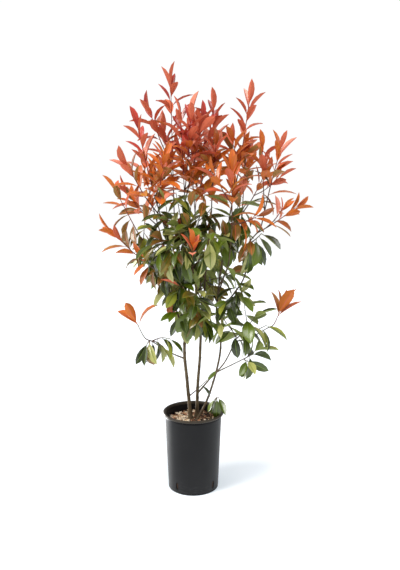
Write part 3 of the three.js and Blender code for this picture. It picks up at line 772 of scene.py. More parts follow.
# %% Leaf places
LEAF_LENGTH = 88  # of a leaf at the foot of a shoot, before chance
LEAF_SUNK = 1.1  # how far below a shoot's tip its last leaf starts
LEAN = {YOUNG: (50, 22), GREEN: (68, 24)}  # degrees from the shoot, lowest leaf and tip
TIP_HANG = {YOUNG: 0, GREEN: 0.5}  # how much of the hang is left at a shoot's tip
ROUND = {"lean_chance": 16, "turn_chance": 24, "tip_lean": 6}  # degrees
CROWDING = {YOUNG: 0.68, GREEN: 0.9}  # under 1 where the leaves stand closer towards the tip
SIZES = {"from_to": (1.0, 0.86), "chance": (0.85, 1.12)}
LEAF_WIDTH = {YOUNG: 0.335, GREEN: 0.38}  # shares of the length
SEEDS_A_MASS = 100  # more than any mass has shoots and twigs, so that each gets its own seed


def leaves_of(one, seed):
    """A shoot's leaves: root, the way each points, the way it faces, length, rise and tint."""
    chance = seeded(seed)
    curve, count = one["curve"], one["leaves"]
    rise = np.arange(count) / (count - 1)
    share = mix(one["bare"], 1 - LEAF_SUNK / curve.length, rise ** CROWDING[one["age"]])
    draws = np.array([next(chance) for _ in range(3 * count)]).reshape(-1, 3)
    turn = np.radians(np.arange(count) * GOLDEN_ANGLE + ROUND["turn_chance"] * (draws[:, 0] - 0.5))
    lean = one["close"] * mix(*LEAN[one["age"]], rise) + ROUND["lean_chance"] * (draws[:, 1] - 0.5)
    lean[-1] = ROUND["tip_lean"]
    lean = np.radians(lean)
    length = LEAF_LENGTH * one["size"] * mix(*SIZES["from_to"], rise)
    length = length * mix(*SIZES["chance"], draws[:, 2])
    along, across, third = curve.frame(share)
    sideways = across * np.cos(turn)[:, None] + third * np.sin(turn)[:, None]
    aim = along * np.cos(lean)[:, None] + sideways * np.sin(lean)[:, None]
    aim[:, 2] -= one["hang"] * mix(1, TIP_HANG[one["age"]], rise)
    aim = unit(aim)
    face = unit(along - aim * (along * aim).sum(1, keepdims=True))
    root = curve.at(share)
    below_tip = np.linalg.norm(one["leader_tip"] - root, axis=1)
    tints = [tint_of(one, *facts) for facts in zip(below_tip, draws[:, 0])]
    return dict(root=root, aim=aim, face=face, length=length, rise=rise, tint=tints, chance=draws)


def gather(age):
    """All the leaves of the masses of one age, as one set of arrays."""
    sets = []
    for nth, grown in enumerate(sprays.values()):
        for number, one in enumerate(grown):
            if one["age"] == age:
                sets.append(leaves_of(one, nth * SEEDS_A_MASS + number))
    keys = ("root", "aim", "face", "length", "rise", "chance")
    arrays = {key: np.concatenate([found[key] for found in sets]) for key in keys}
    arrays["width"] = LEAF_WIDTH[age] * arrays["length"]
    arrays["tint"] = np.array([tint_number[name] for found in sets for name in found["tint"]])
    return arrays


print("the lowest leaves lean by", LEAN[YOUNG][0], "degrees, and green ones by", LEAN[GREEN][0])

# %% [markdown]
# ## The shape of a leaf
# A leaf has a short stalk, a blade that is widest near its middle, and a point. It is folded a
# little along its rib, its halves arch, and it curls back towards its tip. A flat card with a
# picture of a leaf is the usual short cut, but it stays flat at any angle. This one is a small
# closed mesh in its own outline. Its upper side has a narrow strip for the rib, and its underside
# is plainer, as it shows less.

# %% A leaf's points
STALK = 0.11  # the share of the leaf that is stalk
STATIONS = np.array([0, STALK, 0.24, 0.42, 0.62, 0.83, 1.0])  # shares of the length
ACROSS = np.array([-1, -0.55, -0.07, 0.07, 0.55, 1])  # shares of the half width, on the upper side
UNDER_ACROSS = np.array([0.08, -0.08])  # the same on the underside, back again
LEAF_THICKNESS = 0.9
BLADE = {"shift": 1.06, "fullness": 0.72}
SLIVER = {"stalk": 0.07, "tip": 0.02}
# The next three go from a shoot's lowest leaf to its tip, and chance multiplies each by its range.
CURL = {"from_to": (0.75, 0.2), "chance": (0.5, 1.5)}
FOLD = {"from_to": (0.2, 0.65), "chance": (0.7, 1.3)}
SLIM = {"from_to": (1.06, 0.86), "chance": (0.88, 1.12)}
ARCH = 0.12  # how far each half rises between rib and edge, as a share of the half width


def blade_width(station):
    """Half the leaf's width at each station, as a share of its widest: over the blade, the sine
    of the share along it, shifted and made fuller by a power each. Stalk and tip are slivers."""
    blade = np.clip((station - STALK) / (1 - STALK), 0, 1)
    least = np.where(station == 1, SLIVER["tip"], SLIVER["stalk"])
    return np.maximum(np.sin(np.pi * blade ** BLADE["shift"]) ** BLADE["fullness"], least)


def varied(kind, rise, chance):
    """A trait of each leaf, by its rise along the shoot and by chance."""
    return mix(*kind["from_to"], rise) * mix(*kind["chance"], chance)


def leaf_points(leaves):
    """Leaf points, in each row first the upper side's and then the underside's rib. The centre
    line is an arc that turns down by the curl. From it a point goes sideways by the width, and up
    by the fold and the arch of the half it is on."""
    rise, chance = leaves["rise"], leaves["chance"]
    curl = varied(CURL, rise, chance[:, 1])
    fold = varied(FOLD, rise, chance[:, 2])
    slim = varied(SLIM, rise, chance[:, 0])
    aim, face = leaves["aim"], leaves["face"]
    side = np.cross(face, aim)
    length = leaves["length"]
    angle = curl[:, None] * STATIONS
    ahead = length[:, None] * np.sin(angle) / curl[:, None]
    down = length[:, None] * (1 - np.cos(angle)) / curl[:, None]
    centre = leaves["root"][:, None] + aim[:, None] * ahead[..., None]
    centre = centre - face[:, None] * down[..., None]
    up = aim[:, None] * np.sin(angle)[..., None] + face[:, None] * np.cos(angle)[..., None]
    half = (leaves["width"] * slim)[:, None] / 2 * blade_width(STATIONS)
    places = np.append(ACROSS, UNDER_ACROSS)
    spread = np.abs(places)
    height = fold[:, None] * spread + ARCH * np.sin(np.pi * spread)
    lift = half[..., None] * height[:, None]
    lift[..., len(ACROSS) :] = -LEAF_THICKNESS
    sideways = half[..., None] * places
    points = centre[:, :, None] + side[:, None, None] * sideways[..., None]
    return (points + up[:, :, None] * lift[..., None]).reshape(-1, 3)


print("half widths along a leaf:", blade_width(STATIONS).round(2).tolist())

# %% A leaf's faces, and the finish of each
UPPER, RIB, UNDER = 0, 1, 2
RED_TINTS = ("crimson", "scarlet", "flame", "coral")
ORANGE_TINTS = ("orange", "amber")
BRONZE_TINTS = ("copper", "bronze")


def leaf_faces():
    """One leaf's faces, and which part of the leaf each one is."""
    columns = len(ACROSS) + len(UNDER_ACROSS)
    ring = np.arange(len(STATIONS) * columns).reshape(-1, columns)
    onward = np.roll(ring, -1, axis=1)
    quads = np.stack([ring[:-1], ring[1:], onward[1:], onward[:-1]], -1)
    part = np.broadcast_to([UPPER, UPPER, RIB, UPPER, UPPER, UNDER, RIB, UNDER], quads.shape[:2])
    faces = quads.reshape(-1, 4).tolist() + [ring[0].tolist(), ring[-1, ::-1].tolist()]
    return faces, np.append(part.reshape(-1), [UNDER, UNDER])


def sides_of(tint):
    """The numbers of the finishes for a leaf of one tint: its upper side, rib and underside."""
    if tint in RED_TINTS:
        rib, under = "rib_red", "under_red"
    elif tint in ORANGE_TINTS:
        rib, under = "rib_red", "under_orange"
    elif tint in BRONZE_TINTS:
        rib, under = "rib_red", "under_bronze"
    else:
        rib, under = "rib_green", "under_green"
    return [tint_number[name] for name in (tint, rib, under)]


print("a leaf has", len(leaf_faces()[0]), "faces")

# %% All the leaves


def masses_of(age):
    """The names of the masses of one age."""
    return [name for name, facts in MASSES.items() if facts["age"] == age]


def grow_leaves(name, age):
    """The leaves of every mass of one age, joined into one piece."""
    leaves = gather(age)
    points = leaf_points(leaves)
    count = len(leaves["length"])
    faces, part = leaf_faces()
    starts = range(0, len(points), len(points) // count)
    all_faces = [[corner + start for corner in face] for start in starts for face in faces]
    sides = np.array([sides_of(tint) for tint in TINTS])
    which = sides[leaves["tint"]][:, part].reshape(-1)
    print(count, "leaves")
    made = make_piece(name, points, all_faces, leaf_materials, age, which, crisp=60)
    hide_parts(*masses_of(age))
    return made


leaves_young = grow_leaves("leaves_young", YOUNG)
leaves_green = grow_leaves("leaves_green", GREEN)

# %% [markdown]
# ## Twigs
# This year's twigs are as smooth as wire and dark red, with green ones under the older leaves. A
# curve with a bevel would make them, one object each. Here every twig is a tube of points along
# its shoot's curve, and all of one age are joined into one mesh, which costs Blender far less.

# %% Twig finishes and the joined twigs
red_twig = leaf_finish("twig_red", (124, 44, 36), 0.5, 0.1)
brown_twig = leaf_finish("twig_brown", (82, 54, 42), 0.6, 0.05)
green_twig = leaf_finish("twig_green", (88, 82, 46), 0.6, 0.05)

TWIG_SIDES = 6
TWIG_STEP = 9  # millimetres between rows of points
LEAST_ROWS = 4  # of points along any tube, however short
YOUNG_FROM = 0.45  # the share of a twig's length where its younger colour starts


def grow_twigs(name, age, tip_material):
    """Slim tapering tubes along every shoot of one age, in a younger colour at their tips."""
    points, faces, which = [], [], []
    for one in (one for one in shoots if one["age"] == age):
        rows = max(LEAST_ROWS, round(one["curve"].length / TWIG_STEP))
        shares = np.linspace(0, 1, rows)
        radius = mix(*one["radius"], shares)[:, None]
        faces += ring_faces(rows, TWIG_SIDES, sum(map(len, points)))
        points.append(tube_points(one["curve"], shares, radius, TWIG_SIDES))
        young = np.repeat(shares[:-1] > YOUNG_FROM, TWIG_SIDES)
        which += [*young.astype(int), 0, 1]
    points = np.concatenate(points)
    made = make_piece(name, points, faces, [brown_twig, tip_material], age, which, crisp=75)
    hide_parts(*masses_of(age))
    return made


twigs_young = grow_twigs("twigs_young", YOUNG, red_twig)
twigs_green = grow_twigs("twigs_green", GREEN, green_twig)

# %% [markdown]
# ## Bark
# The stems are two or three years old: thin grey-brown bark with fine lengthwise ridges, and a
# scar with a swelling wherever a leaf once sat. A bump in the finish could feign all that, but it
# leaves the outline smooth. So the relief is in the mesh, and only the colour and the finest
# grain come from noise, drawn out along the stem.

# %% Bark relief
BARK = {"sides": 20, "step": 3.0}
RIDGES = {"coarse": 0.028, "fine": 0.02}  # shares of the radius
SCAR = {"spacing": 31, "height": 3.2, "ring": 0.06, "bulge": 0.2}
FLARE = {"share": 0.8, "length": 16}  # how a stem swells at its foot
COLLAR = {"share": 0.35, "length": 14}  # how a bough swells where it leaves its carrier


def bark_relief(angle, distance, seed):
    """How far the bark stands out, as a share of the radius: five coarse and eight fine waves
    round the stem that wander as they climb, and at each leaf scar a ring that fades up and down
    the stem as a bell curve and bulges on the side the golden angle gives."""
    wander = np.sin(distance / 23 + seed) + 0.6 * np.sin(distance / 9.5 + 2 * seed)
    coarse = RIDGES["coarse"] * np.sin(5 * angle + wander)
    ridges = coarse + RIDGES["fine"] * np.sin(8 * angle - 1.4 * wander + seed)
    nth = np.round(distance / SCAR["spacing"])
    gap = distance - nth * SCAR["spacing"]
    facing = 0.5 + 0.5 * np.cos(angle - np.radians(GOLDEN_ANGLE) * nth - seed)
    swelling = SCAR["ring"] + SCAR["bulge"] * facing**4
    return ridges + np.exp(-((gap / SCAR["height"]) ** 2)) * swelling


round_stem = np.linspace(0, 2 * np.pi, 90)
bark_sample = bark_relief(round_stem, np.arange(10 * SCAR["spacing"])[:, None], 0)
print("the bark stands out by up to", round(float(bark_sample.max()), 2), "of the radius")

# %% [markdown]
# The bark's colour runs in upright streaks, from nearly black through brown to a dry grey-brown.
# Painting them would need a flat map of every limb. Noise in the object's own coordinates needs
# none, and a Mapping node that squeezes it less along Z than across draws it out into streaks.

# %% Bark finish
BARK_BROWNS = [(0.30, (50, 38, 28)), (0.5, (88, 72, 50)), (0.68, (126, 110, 82))]
BARK_GRAIN = {"Scale": 1.0, "Detail": 5.0, "Roughness": 0.6}


def bark_finish():
    """Grey-brown bark: noise drawn out along Z mixes three browns, and bumps the surface."""
    finish = new_finish("bark")
    place = finish.node("ShaderNodeTexCoord", output="Object")
    drawn = finish.node("ShaderNodeMapping", {"Vector": place, "Scale": (420, 420, 60)})
    grain = finish.node("ShaderNodeTexNoise", {"Vector": drawn} | BARK_GRAIN)
    patches = finish.node("ShaderNodeTexNoise", {"Vector": place, "Scale": 38.0, "Detail": 2.0})
    tone = grain * 0.65 + patches * 0.35
    stops = [(share, color(*brown)) for share, brown in BARK_BROWNS]
    browns = finish.node("ShaderNodeValToRGB", {"Fac": tone}, stops=stops)
    bump = finish.node("ShaderNodeBump", {"Height": grain, "Strength": 0.5, "Distance": 0.0006})
    return finish.surface(base_color=browns, roughness=0.62 + grain * 0.25, normal=bump)


bark = bark_finish()
print("bark of", len(BARK_BROWNS), "browns")

# %% Stems and boughs with their bark
SEED_STEP = 1.7  # between the bark waves of one limb and the next


def grow_limbs(name, names, swelling):
    """Limbs as tubes with bark relief. The radius tapers, and swells at the foot by a share that
    fades as the exponential of the distance from it."""
    points, faces = [], []
    angle = np.linspace(0, 2 * np.pi, BARK["sides"], endpoint=False)[None]
    for nth, limb_name in enumerate(names):
        curve, (foot, tip) = limbs[limb_name]["curve"], limbs[limb_name]["radius"]
        rows = max(LEAST_ROWS, round(curve.length / BARK["step"]))
        shares = np.linspace(0, 1, rows)
        distance = (shares * curve.length)[:, None]
        swollen = 1 + swelling["share"] * np.exp(-distance / swelling["length"])
        relief = bark_relief(angle, distance, nth * SEED_STEP)
        radius = mix(foot, tip, shares)[:, None] * swollen * (1 + relief)
        faces += ring_faces(rows, BARK["sides"], sum(map(len, points)))
        points.append(tube_points(curve, shares, radius, BARK["sides"]))
    made = make_piece(name, np.concatenate(points), faces, [bark], "bark", crisp=80)
    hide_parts(*names)
    return made


stems = grow_limbs("stems", list(STEMS), FLARE)
boughs = grow_limbs("boughs", list(BOUGHS), COLLAR)

# %% [markdown]
# ## The pot
# A blow-moulded nursery pot: a thin wall that widens upwards, a rolled rim, a rounded foot, and
# drain slots low in the wall. Spinning a profile and cutting the slots with a Boolean would do
# it, but Booleans leave ragged faces on a thin wall. So the profile is turned round the axis as a
# grid of points, and the slots are cells left out of the grid, outside and inside, with walls put
# in between.

# %% Pot sizes and the lines of its wall
POT = dict(height=270, rim=103.5, body=96, foot=85.5)  # a height, and three radii from above
POT |= dict(rim_depth=9, foot_round=8, wall=2.6, floor=3)
DRAIN = {"count": 4, "height": 26, "rise": 13, "tilt": 51}  # tilt is degrees round from the right
POT_SIDES = 288


def inside_at(z):
    """The radius of the inside of the wall at a height: the wall leans out evenly."""
    slope = (POT["body"] - POT["foot"]) / (POT["height"] - POT["rim_depth"] - POT["foot_round"])
    return POT["foot"] - POT["wall"] + slope * (z - POT["floor"])


def arc(centre, radius, start, end, count):
    """Places on an arc, from one angle in degrees to another."""
    angle = np.radians(np.linspace(start, end, count))
    return np.stack([centre[0] + radius * np.cos(angle), centre[1] + radius * np.sin(angle)], -1)


def slope_places(start, end, count):
    """Places on a straight line without its last one, which the profile's next part brings."""
    return np.linspace(start, end, count, endpoint=False)


ROLL = POT["rim_depth"] / 2
SLOT_ROWS = 8
SLOT_HEIGHTS = DRAIN["rise"] + np.linspace(0, DRAIN["height"], SLOT_ROWS + 1)
wall_foot = (POT["foot"], POT["foot_round"])
wall_top = (POT["body"], POT["height"] - POT["rim_depth"])


def outside_at(z):
    """The radius of the outside of the wall at a height: a straight slope from foot to rim."""
    return np.interp(z, [wall_foot[1], wall_top[1]], [wall_foot[0], wall_top[0]])


print("the pot's wall leans out by", POT["body"] - POT["foot"], "mm")

# %% The pot's profile, from the middle of its underside round to the middle of its floor
outer_slot = np.column_stack([outside_at(SLOT_HEIGHTS), SLOT_HEIGHTS])
inner_slot = np.column_stack([inside_at(SLOT_HEIGHTS), SLOT_HEIGHTS])[::-1]
RECESS = 1.4  # how far the middle of the underside is drawn up, so that the pot stands on a ring
STEP_IN = 1.1  # the shallow step round the foot of the wall
stepped = POT["foot"] - STEP_IN
profile_parts = [
    slope_places((2, RECESS), (60, RECESS), 6),  # the underside, drawn up
    slope_places((62, RECESS), (64, 0), 3),
    slope_places((64.5, 0), (POT["foot"] - 3.4, 0), 3),  # the ring it stands on
    arc((POT["foot"] - 3 - 0.2, 3), 3, -90, -8, 6),  # the rounded foot
    [(POT["foot"] - 0.15, 5.2), (stepped, 6.2), (stepped, 7.0), (outside_at(8.2), 8.2)],
    slope_places((outside_at(9), 9), outer_slot[0], 3),
    outer_slot,
    slope_places((outside_at(44), 44), (outside_at(252), 252), 26),  # the long slope of the wall
    [(outside_at(252), 252), (outside_at(255) + 0.1, 255), (outside_at(256) - 1.0, 256.2)],
    [(outside_at(259) - 1.2, 259), (outside_at(260.5) - 0.6, 260.4)],  # a groove under the rim
    arc((POT["rim"] - ROLL, POT["height"] - ROLL), ROLL, -80, 108, 16),  # the rolled rim
    slope_places((inside_at(262) + 0.6, 265), (inside_at(250), 250), 5),
    slope_places((inside_at(250), 250), inner_slot[0] + (0.3, 5), 18),  # down the inside
    inner_slot,
    slope_places((inside_at(9), 9), (inside_at(6), 4), 3),
    slope_places((inside_at(4) - 2, POT["floor"]), (1, POT["floor"]), 5),  # in over the floor
]
profile = np.vstack(profile_parts)
print("pot profile of", len(profile), "places")

# %% The pot's mesh
SLOT_COLUMNS = 5
column_step = 360 / POT_SIDES
first_angle = DRAIN["tilt"] - SLOT_COLUMNS / 2 * column_step
columns_apart = POT_SIDES // DRAIN["count"]


def row_of(part):
    """The number of a profile part's first row."""
    nth = next(nth for nth, one in enumerate(profile_parts) if one is part)
    return sum(len(one) for one in profile_parts[:nth])


outer_row, inner_row = row_of(outer_slot), row_of(inner_slot)


def open_cells():
    """Which cells of the outer wall a slot leaves out: a block with its four corner cells kept,
    so that its ends are rounded."""
    missing = np.zeros((len(profile) - 1, POT_SIDES), bool)
    rows = outer_row + np.arange(SLOT_ROWS)
    for nth in range(DRAIN["count"]):
        columns = nth * columns_apart + np.arange(SLOT_COLUMNS)
        missing[np.ix_(rows, columns)] = True
        missing[np.ix_(rows[[0, -1]], columns[[0, -1]])] = False
    return missing


def pot_mesh():
    """The profile turned round the axis: radius times cosine and sine of each column's angle. A
    slot's cells are left out of the outer wall, and of the inner wall at the same heights, and
    each edge round the hole gets a quad from the one wall to the other."""
    angle = np.radians(first_angle + column_step * np.arange(POT_SIDES))
    radius, height = profile.T
    round_it = np.stack([np.cos(angle), np.sin(angle)], -1)
    flat = radius[:, None, None] * round_it[None]
    heights = np.broadcast_to(height[:, None, None], (*flat.shape[:2], 1))
    points = np.concatenate([flat, heights], -1)
    ring = np.arange(len(profile) * POT_SIDES).reshape(len(profile), POT_SIDES)
    onward = np.roll(ring, -1, axis=1)
    cells = np.stack([ring[:-1], onward[:-1], onward[1:], ring[1:]], -1)
    outer = open_cells()
    across = outer_row + inner_row + SLOT_ROWS  # an outer row and its inner one add up to this
    inner = np.zeros_like(outer)
    rows = outer_row + np.arange(SLOT_ROWS)
    inner[across - 1 - rows] = outer[rows]
    faces = cells[~(outer | inner)].tolist()
    neighbours = ((1, 0), (-1, 1), (-1, 0), (1, 1))  # how far and along which axis each one lies
    for side, (shift, axis) in enumerate(neighbours):
        edge_cells = cells[outer & ~np.roll(outer, shift, axis)]
        here, there = edge_cells[:, [side, (side + 1) % 4]].T
        mirrored = [across * POT_SIDES + 2 * (edge % POT_SIDES) - edge for edge in (there, here)]
        faces += np.stack([here, there, *mirrored], -1).tolist()
    faces += [ring[0, ::-1].tolist(), ring[-1].tolist()]
    return points.reshape(-1, 3), faces


pot_points, pot_faces = pot_mesh()
print("pot mesh of", len(pot_faces), "faces")

# %% [markdown]
# The plastic is black with a little recycled grey in it. Its satin surface is finely grained,
# dust has settled in faint patches, scuffs thicken towards the foot, the wall turns paler towards
# the foot, and the rolled rim is painted paler as a painted highlight. One flat black would look
# cut out of paper, and a painted image would need a map of the pot. Noise and the height above the
# floor put the dust, the paling and the painted highlight in place, at any size of picture.

# %% Pot finish
# the third colour is a pale tan, a painted highlight for the rim
PLASTIC, DUST, RIM_HIGHLIGHT = (12, 12, 15), (62, 62, 64), (88, 78, 64)
RIM_HIGHLIGHT_HEIGHTS = (0.259, 0.262)  # heights in metres where the painted highlight on the rim fades in
FOOT_DUST = 0.05  # metres up to which scuffs are thick


def pot_finish():
    """Charcoal plastic: dust, paling to the foot, thin scuffs and a painted highlight on the rim.
    """
    finish = new_finish("pot_plastic")
    place = finish.node("ShaderNodeTexCoord", output="Object")
    height = finish.node("ShaderNodeSeparateXYZ", {"Vector": place}, output=2)
    soft = {"Detail": 2.0, "Roughness": 0.5}
    film = finish.node("ShaderNodeTexNoise", {"Vector": place, "Scale": 9.0} | soft)
    drawn = finish.node("ShaderNodeMapping", {"Vector": place, "Scale": (60, 60, 300)})
    finer = soft | {"Vector": drawn, "Scale": 1.0, "Detail": 3.0}
    scuffs = finish.node("ShaderNodeTexNoise", finer)
    grain = finish.node("ShaderNodeTexNoise", {"Vector": place, "Scale": 900.0, "Detail": 2.0})
    # the rolled rim, where a painted highlight is laid on
    rim = finish.ramp(height, *RIM_HIGHLIGHT_HEIGHTS)
    foot = 1 - finish.ramp(height, 0.0, FOOT_DUST)
    # dust patches by noise, and a wall that turns paler towards the foot
    dust = finish.ramp(film, 0.3, 0.8) * 0.12 + (1 - finish.ramp(height, 0.0, 0.26)) * 0.1
    dust = dust + finish.ramp(scuffs, 0.54, 0.68) * (foot * 0.5 + 0.02)
    shade = finish.blend(dust, color(*PLASTIC), color(*DUST))
    # painted highlight: the rim's colour is blended towards a pale tan
    shade = finish.blend(rim * 0.4, shade, color(*RIM_HIGHLIGHT))
    bump = finish.node("ShaderNodeBump", {"Height": grain, "Strength": 0.2, "Distance": 0.0004})
    gloss = dict(roughness=0.42 + dust * 0.3, specular_ior_level=0.22)
    bloom = dict(sheen_weight=0.12, sheen_roughness=0.35)
    return finish.surface(base_color=shade, normal=bump, **gloss, **bloom)


pot = make_piece("pot_shell", pot_points, pot_faces, [pot_finish()], "pot_plastic", crisp=50)
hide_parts("pot")

# %% [markdown]
# ## The potting mix
# Dark, crumbly mix fills the pot to a thumb's width below its rim. A displacement texture could
# roughen a plain disc, but the pot's wall and the chips need to know the heights too. So it is
# one closed body: a disc of rings whose heights have low mounds and small crumbs, with a wall
# down to the floor of the pot.

# %% The mix
MIX = dict(columns=180, rings=56, middle=1.5, edge_gap=1.6, clear=0.3)
MIX |= dict(below=4, edge_drop=4, crumb=1.5)
luck = np.random.default_rng(7)


def mound(x, y):
    """The height of the mix over its mean, in millimetres: three long waves that cross."""
    return 1.6 * np.sin(x / 17 + 1) + 1.4 * np.sin(y / 13 + 2) + 1.1 * np.sin((x + y) / 8)


def mix_mesh():
    """Rings out to the wall. The height is the mean, below the chips on it, plus the mounds, plus
    crumbs by chance, less a drop near the wall that grows with the fourth power of the radius."""
    edge = inside_at(MIX_TOP) - MIX["edge_gap"]
    rings = np.linspace(MIX["middle"], edge, MIX["rings"])
    radius = np.append(rings, inside_at(POT["floor"]) - MIX["edge_gap"])
    angle = np.linspace(0, 2 * np.pi, MIX["columns"], endpoint=False)
    x = radius[:, None] * np.cos(angle)
    y = radius[:, None] * np.sin(angle)
    crumbs = luck.uniform(-MIX["crumb"], MIX["crumb"], x.shape)
    drop = MIX["edge_drop"] * (radius[:, None] / edge) ** 4
    z = MIX_TOP - MIX["below"] + mound(x, y) + crumbs - drop
    z[-1] = POT["floor"] + MIX["clear"]
    faces = ring_faces(len(radius), MIX["columns"])
    return np.stack([x, y, z], -1).reshape(-1, 3), [face[::-1] for face in faces]


def mix_finish():
    """Dark brown mix: fine noise mixes near-black peat with lighter fibre."""
    finish = new_finish("potting_mix")
    place = finish.node("ShaderNodeTexCoord", output="Object")
    crumbs = finish.node("ShaderNodeTexNoise", {"Vector": place, "Scale": 260.0, "Detail": 4.0})
    browns = finish.blend(finish.ramp(crumbs, 0.4, 0.7), color(38, 26, 20), color(98, 70, 50))
    bump = finish.node("ShaderNodeBump", {"Height": crumbs, "Strength": 0.6, "Distance": 0.002})
    return finish.surface(base_color=browns, roughness=0.85 + crumbs * 0.1, normal=bump)


potting_mix = make_piece("potting_mix_body", *mix_mesh(), [mix_finish()], "potting_mix", crisp=180)
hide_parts("potting_mix")

# %% [markdown]
# ## Bark chips
# A mulch of bark chips covers the mix. Dropping them in a rigid body simulation would settle them
# best, but takes long and shifts with every change. A chip is a small lump between a box and a
# ball, pressed flat, with its corners moved by chance. They lie in layers on a sunflower spiral,
# which spreads them evenly, and mostly flat, as chips come to rest.

# %% A lump of bark


def lump():
    """A lump's points and faces: the surface of a lattice of 3 by 3 by 3 points, each drawn half
    way from the cube to the ball by dividing it by the square root of its distance."""
    lattice = np.stack(np.meshgrid(*[[-1.0, 0, 1]] * 3, indexing="ij"), -1).reshape(-1, 3)
    surface = np.flatnonzero(np.abs(lattice).max(1) == 1)
    number = {nth: k for k, nth in enumerate(surface.tolist())}
    step = (9, 3, 1)  # from a point's number in the lattice to the next along each axis
    faces = []
    for axis in range(3):
        u, v = (axis + 1) % 3, (axis + 2) % 3
        for end in (0, 2):
            for i, j in ((0, 0), (0, 1), (1, 0), (1, 1)):
                start = end * step[axis] + i * step[u] + j * step[v]
                quad = [start, start + step[u], start + step[u] + step[v], start + step[v]]
                faces.append([number[corner] for corner in (quad if end else quad[::-1])])
    points = lattice[surface]
    return points / np.linalg.norm(points, axis=1, keepdims=True) ** 0.5, np.array(faces)


print("a chip has", len(lump()[1]), "faces")

# %% Chips on the mix
CHIPS = dict(count=900, length=(6, 15), width=(4, 10), depth=(3, 6), jitter=0.16, tilt=0.28)
BED = {"sunk": 1, "layer": 4, "from_wall": 5}
# a mean tone, a painted shade that darkens the chips towards the right and the back, and chance
PALENESS_AND_SHADE = {"mean": 0.46, "shade_to_right": -0.26, "shade_to_back": -0.1, "chance": 0.3}
PALER_THAN = (0.68, 0.54, 0.42, 0.24)  # the limits between the tints below, palest first
CHIP_TINTS = {
    "cream": (240, 222, 196),
    "tan": (196, 164, 126),
    "pink": (170, 122, 94),
    "brown": (100, 68, 46),
    "dark": (44, 32, 24),
}


def turned(points, tilt, turn):
    """Each lump's points tipped about X by its tilt and then turned about Z."""
    x, y, z = np.moveaxis(points, -1, 0)
    tilt, turn = tilt[:, None], turn[:, None]
    y, z = y * np.cos(tilt) - z * np.sin(tilt), y * np.sin(tilt) + z * np.cos(tilt)
    x, y = x * np.cos(turn) - y * np.sin(turn), x * np.sin(turn) + y * np.cos(turn)
    return np.stack([x, y, z], -1)


def chip_mesh():
    """All the chips: a place on the spiral goes out by the square root of its number, and a
    chip's tint darkens towards the pot's right and back as painted shade, and varies by chance."""
    base, quads = lump()
    count = CHIPS["count"]
    sizes = [luck.uniform(*CHIPS[key], count) for key in ("length", "width", "depth")]
    half = np.stack(sizes, -1) / 2
    jitter = CHIPS["jitter"] * luck.normal(size=(count, len(base), 1))
    points = base[None] * half[:, None] * (1 + jitter)
    points = turned(points, luck.normal(0, CHIPS["tilt"], count), luck.uniform(0, 2 * np.pi, count))
    reach = inside_at(MIX_TOP) - MIX["edge_gap"] - BED["from_wall"]
    out = reach * np.sqrt(luck.permutation(count) / count)
    angle = np.arange(count) * np.radians(GOLDEN_ANGLE)
    x, y = out * np.cos(angle), out * np.sin(angle)
    z = MIX_TOP - BED["sunk"] + mound(x, y) + BED["layer"] * luck.uniform(0, 1, count)
    points = points + np.stack([x, y, z], -1)[:, None]
    # painted shade: the chips grow darker towards the pot's right and back
    paleness_and_shade = PALENESS_AND_SHADE["mean"] + PALENESS_AND_SHADE["shade_to_right"] * x / reach + PALENESS_AND_SHADE["shade_to_back"] * y / reach
    paleness_and_shade = paleness_and_shade + luck.normal(0, PALENESS_AND_SHADE["chance"], count)
    tint = np.digitize(-paleness_and_shade, -np.array(PALER_THAN))
    faces = (quads[None] + np.arange(count)[:, None, None] * len(base)).reshape(-1, 4).tolist()
    return points.reshape(-1, 3), faces, np.repeat(tint, len(quads))


def chip_finish(name, tint):
    """Dry bark: one plain brown, quite rough."""
    return new_finish("chip_" + name).surface(base_color=color(*tint), roughness=0.85)


chip_points, chip_faces, chip_tints = chip_mesh()
chip_materials = [chip_finish(*facts) for facts in CHIP_TINTS.items()]
chip_facts = dict(slot="potting_mix", which=chip_tints, crisp=50)
chips = make_piece("bark_chips", chip_points, chip_faces, chip_materials, **chip_facts)
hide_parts("potting_mix")

# %% [markdown]
# ## Floor and light
# A white light table and broad soft lamps. A curved backdrop is the usual way to a white picture,
# but its bend shows as a grey band, so the floor is a wide disc and a white sky stands behind it.
# The main lamp is on the left, so the shrub's shadow falls to the right, and the table's own cool
# glow keeps that shadow faint. The sky looks white to the camera. A glossy leaf mirrors less than
# half of that, and the light on the shrub is less again.

# %% Floor and sky
FLOOR = {"radius": 6000, "sides": 60, "drop": 0.3}
GLOW = {"color": (0.68, 0.87, 1.0, 1), "strength": 0.26}
SKY = {"seen": 1.02, "mirrored": 0.42, "light": 0.30}


def floor_finish():
    """A white glowing sheet: a faint mottle keeps it from being one flat colour."""
    finish = new_finish("light_table")
    place = finish.node("ShaderNodeTexCoord", output="Object")
    mottle = finish.node("ShaderNodeTexNoise", {"Vector": place, "Scale": 3.0, "Detail": 2.0})
    white = finish.blend(mottle, (0.88, 0.89, 0.92, 1), (0.92, 0.92, 0.93, 1))
    glow = dict(emission_color=GLOW["color"], emission_strength=GLOW["strength"])
    return finish.surface(base_color=white, roughness=0.9, **glow)


floor_ring = arc((0, 0), FLOOR["radius"], 0, 360 - 360 / FLOOR["sides"], FLOOR["sides"])
floor_points = np.column_stack([floor_ring, np.full(FLOOR["sides"], -FLOOR["drop"])])
floor = make_object("floor", floor_points, [list(range(FLOOR["sides"]))], [floor_finish()])

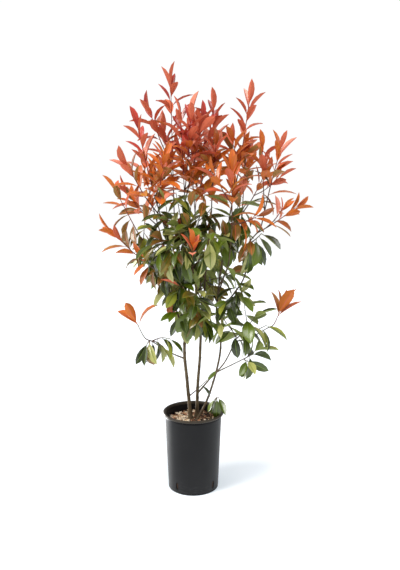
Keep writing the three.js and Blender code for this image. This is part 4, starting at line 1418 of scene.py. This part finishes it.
world = bpy.data.worlds.new("sky")
bpy.context.scene.world = world
sky = Finish(world)
seen = sky.node("ShaderNodeLightPath", output="Is Camera Ray")
mirrored = sky.node("ShaderNodeLightPath", output="Is Glossy Ray")
background = sky.tree.nodes["Background"]
sky.feed(background.inputs["Color"], (1, 1, 1, 1))
extra_seen = seen * (SKY["seen"] - SKY["light"])
extra_mirrored = mirrored * (SKY["mirrored"] - SKY["light"])
sky.feed(background.inputs["Strength"], extra_seen + extra_mirrored + SKY["light"])
print("sky strength for the camera, in gloss and as light:", *SKY.values())

# %% Lamps


def lamp(name, comes_from, softness, power, tint):
    """A lamp so far off that it lights the whole floor alike. It shines from a direction, and its
    softness is how many degrees across it looks."""
    data = bpy.data.lights.new(name, "SUN")
    data.angle, data.energy, data.color = math.radians(softness), power, tint
    made = bpy.data.objects.new(name, data)
    made.rotation_euler = (-Vector(comes_from)).to_track_quat("-Z", "Y").to_euler()
    bpy.context.scene.collection.objects.link(made)
    print(name, power, "W per square metre")


lamp("lamp_main", (-1.0, -0.62, 1.15), 24, 2.3, (1.0, 0.985, 0.94))
lamp("lamp_top", (0.2, -0.3, 1.0), 34, 1.5, (0.99, 0.99, 1.0))
lamp("lamp_fill", (1.0, -0.45, 0.45), 40, 0.55, (0.97, 0.98, 1.0))
lamp("lamp_left", (-1.0, 0.25, 0.25), 40, 0.9, (0.97, 0.985, 1.0))


def pot_lamp(place, aim, watts, radius, cone):
    """A low spot lamp that brightens only the pot's left edge, and fades out over its cone."""
    data = bpy.data.lights.new("lamp_pot", "SPOT")
    data.energy, data.shadow_soft_size = watts, radius
    data.spot_size, data.spot_blend = math.radians(cone), 1.0
    made = bpy.data.objects.new("lamp_pot", data)
    made.location = place
    made.rotation_euler = (Vector(aim) - Vector(place)).to_track_quat("-Z", "Y").to_euler()
    bpy.context.scene.collection.objects.link(made)
    print("lamp_pot", watts, "W")


pot_lamp(place=(-0.95, 1.0, 0.05), aim=(0, 0, 0.12), watts=400, radius=0.25, cone=24)
bpy.context.scene.view_settings.view_transform = "Standard"
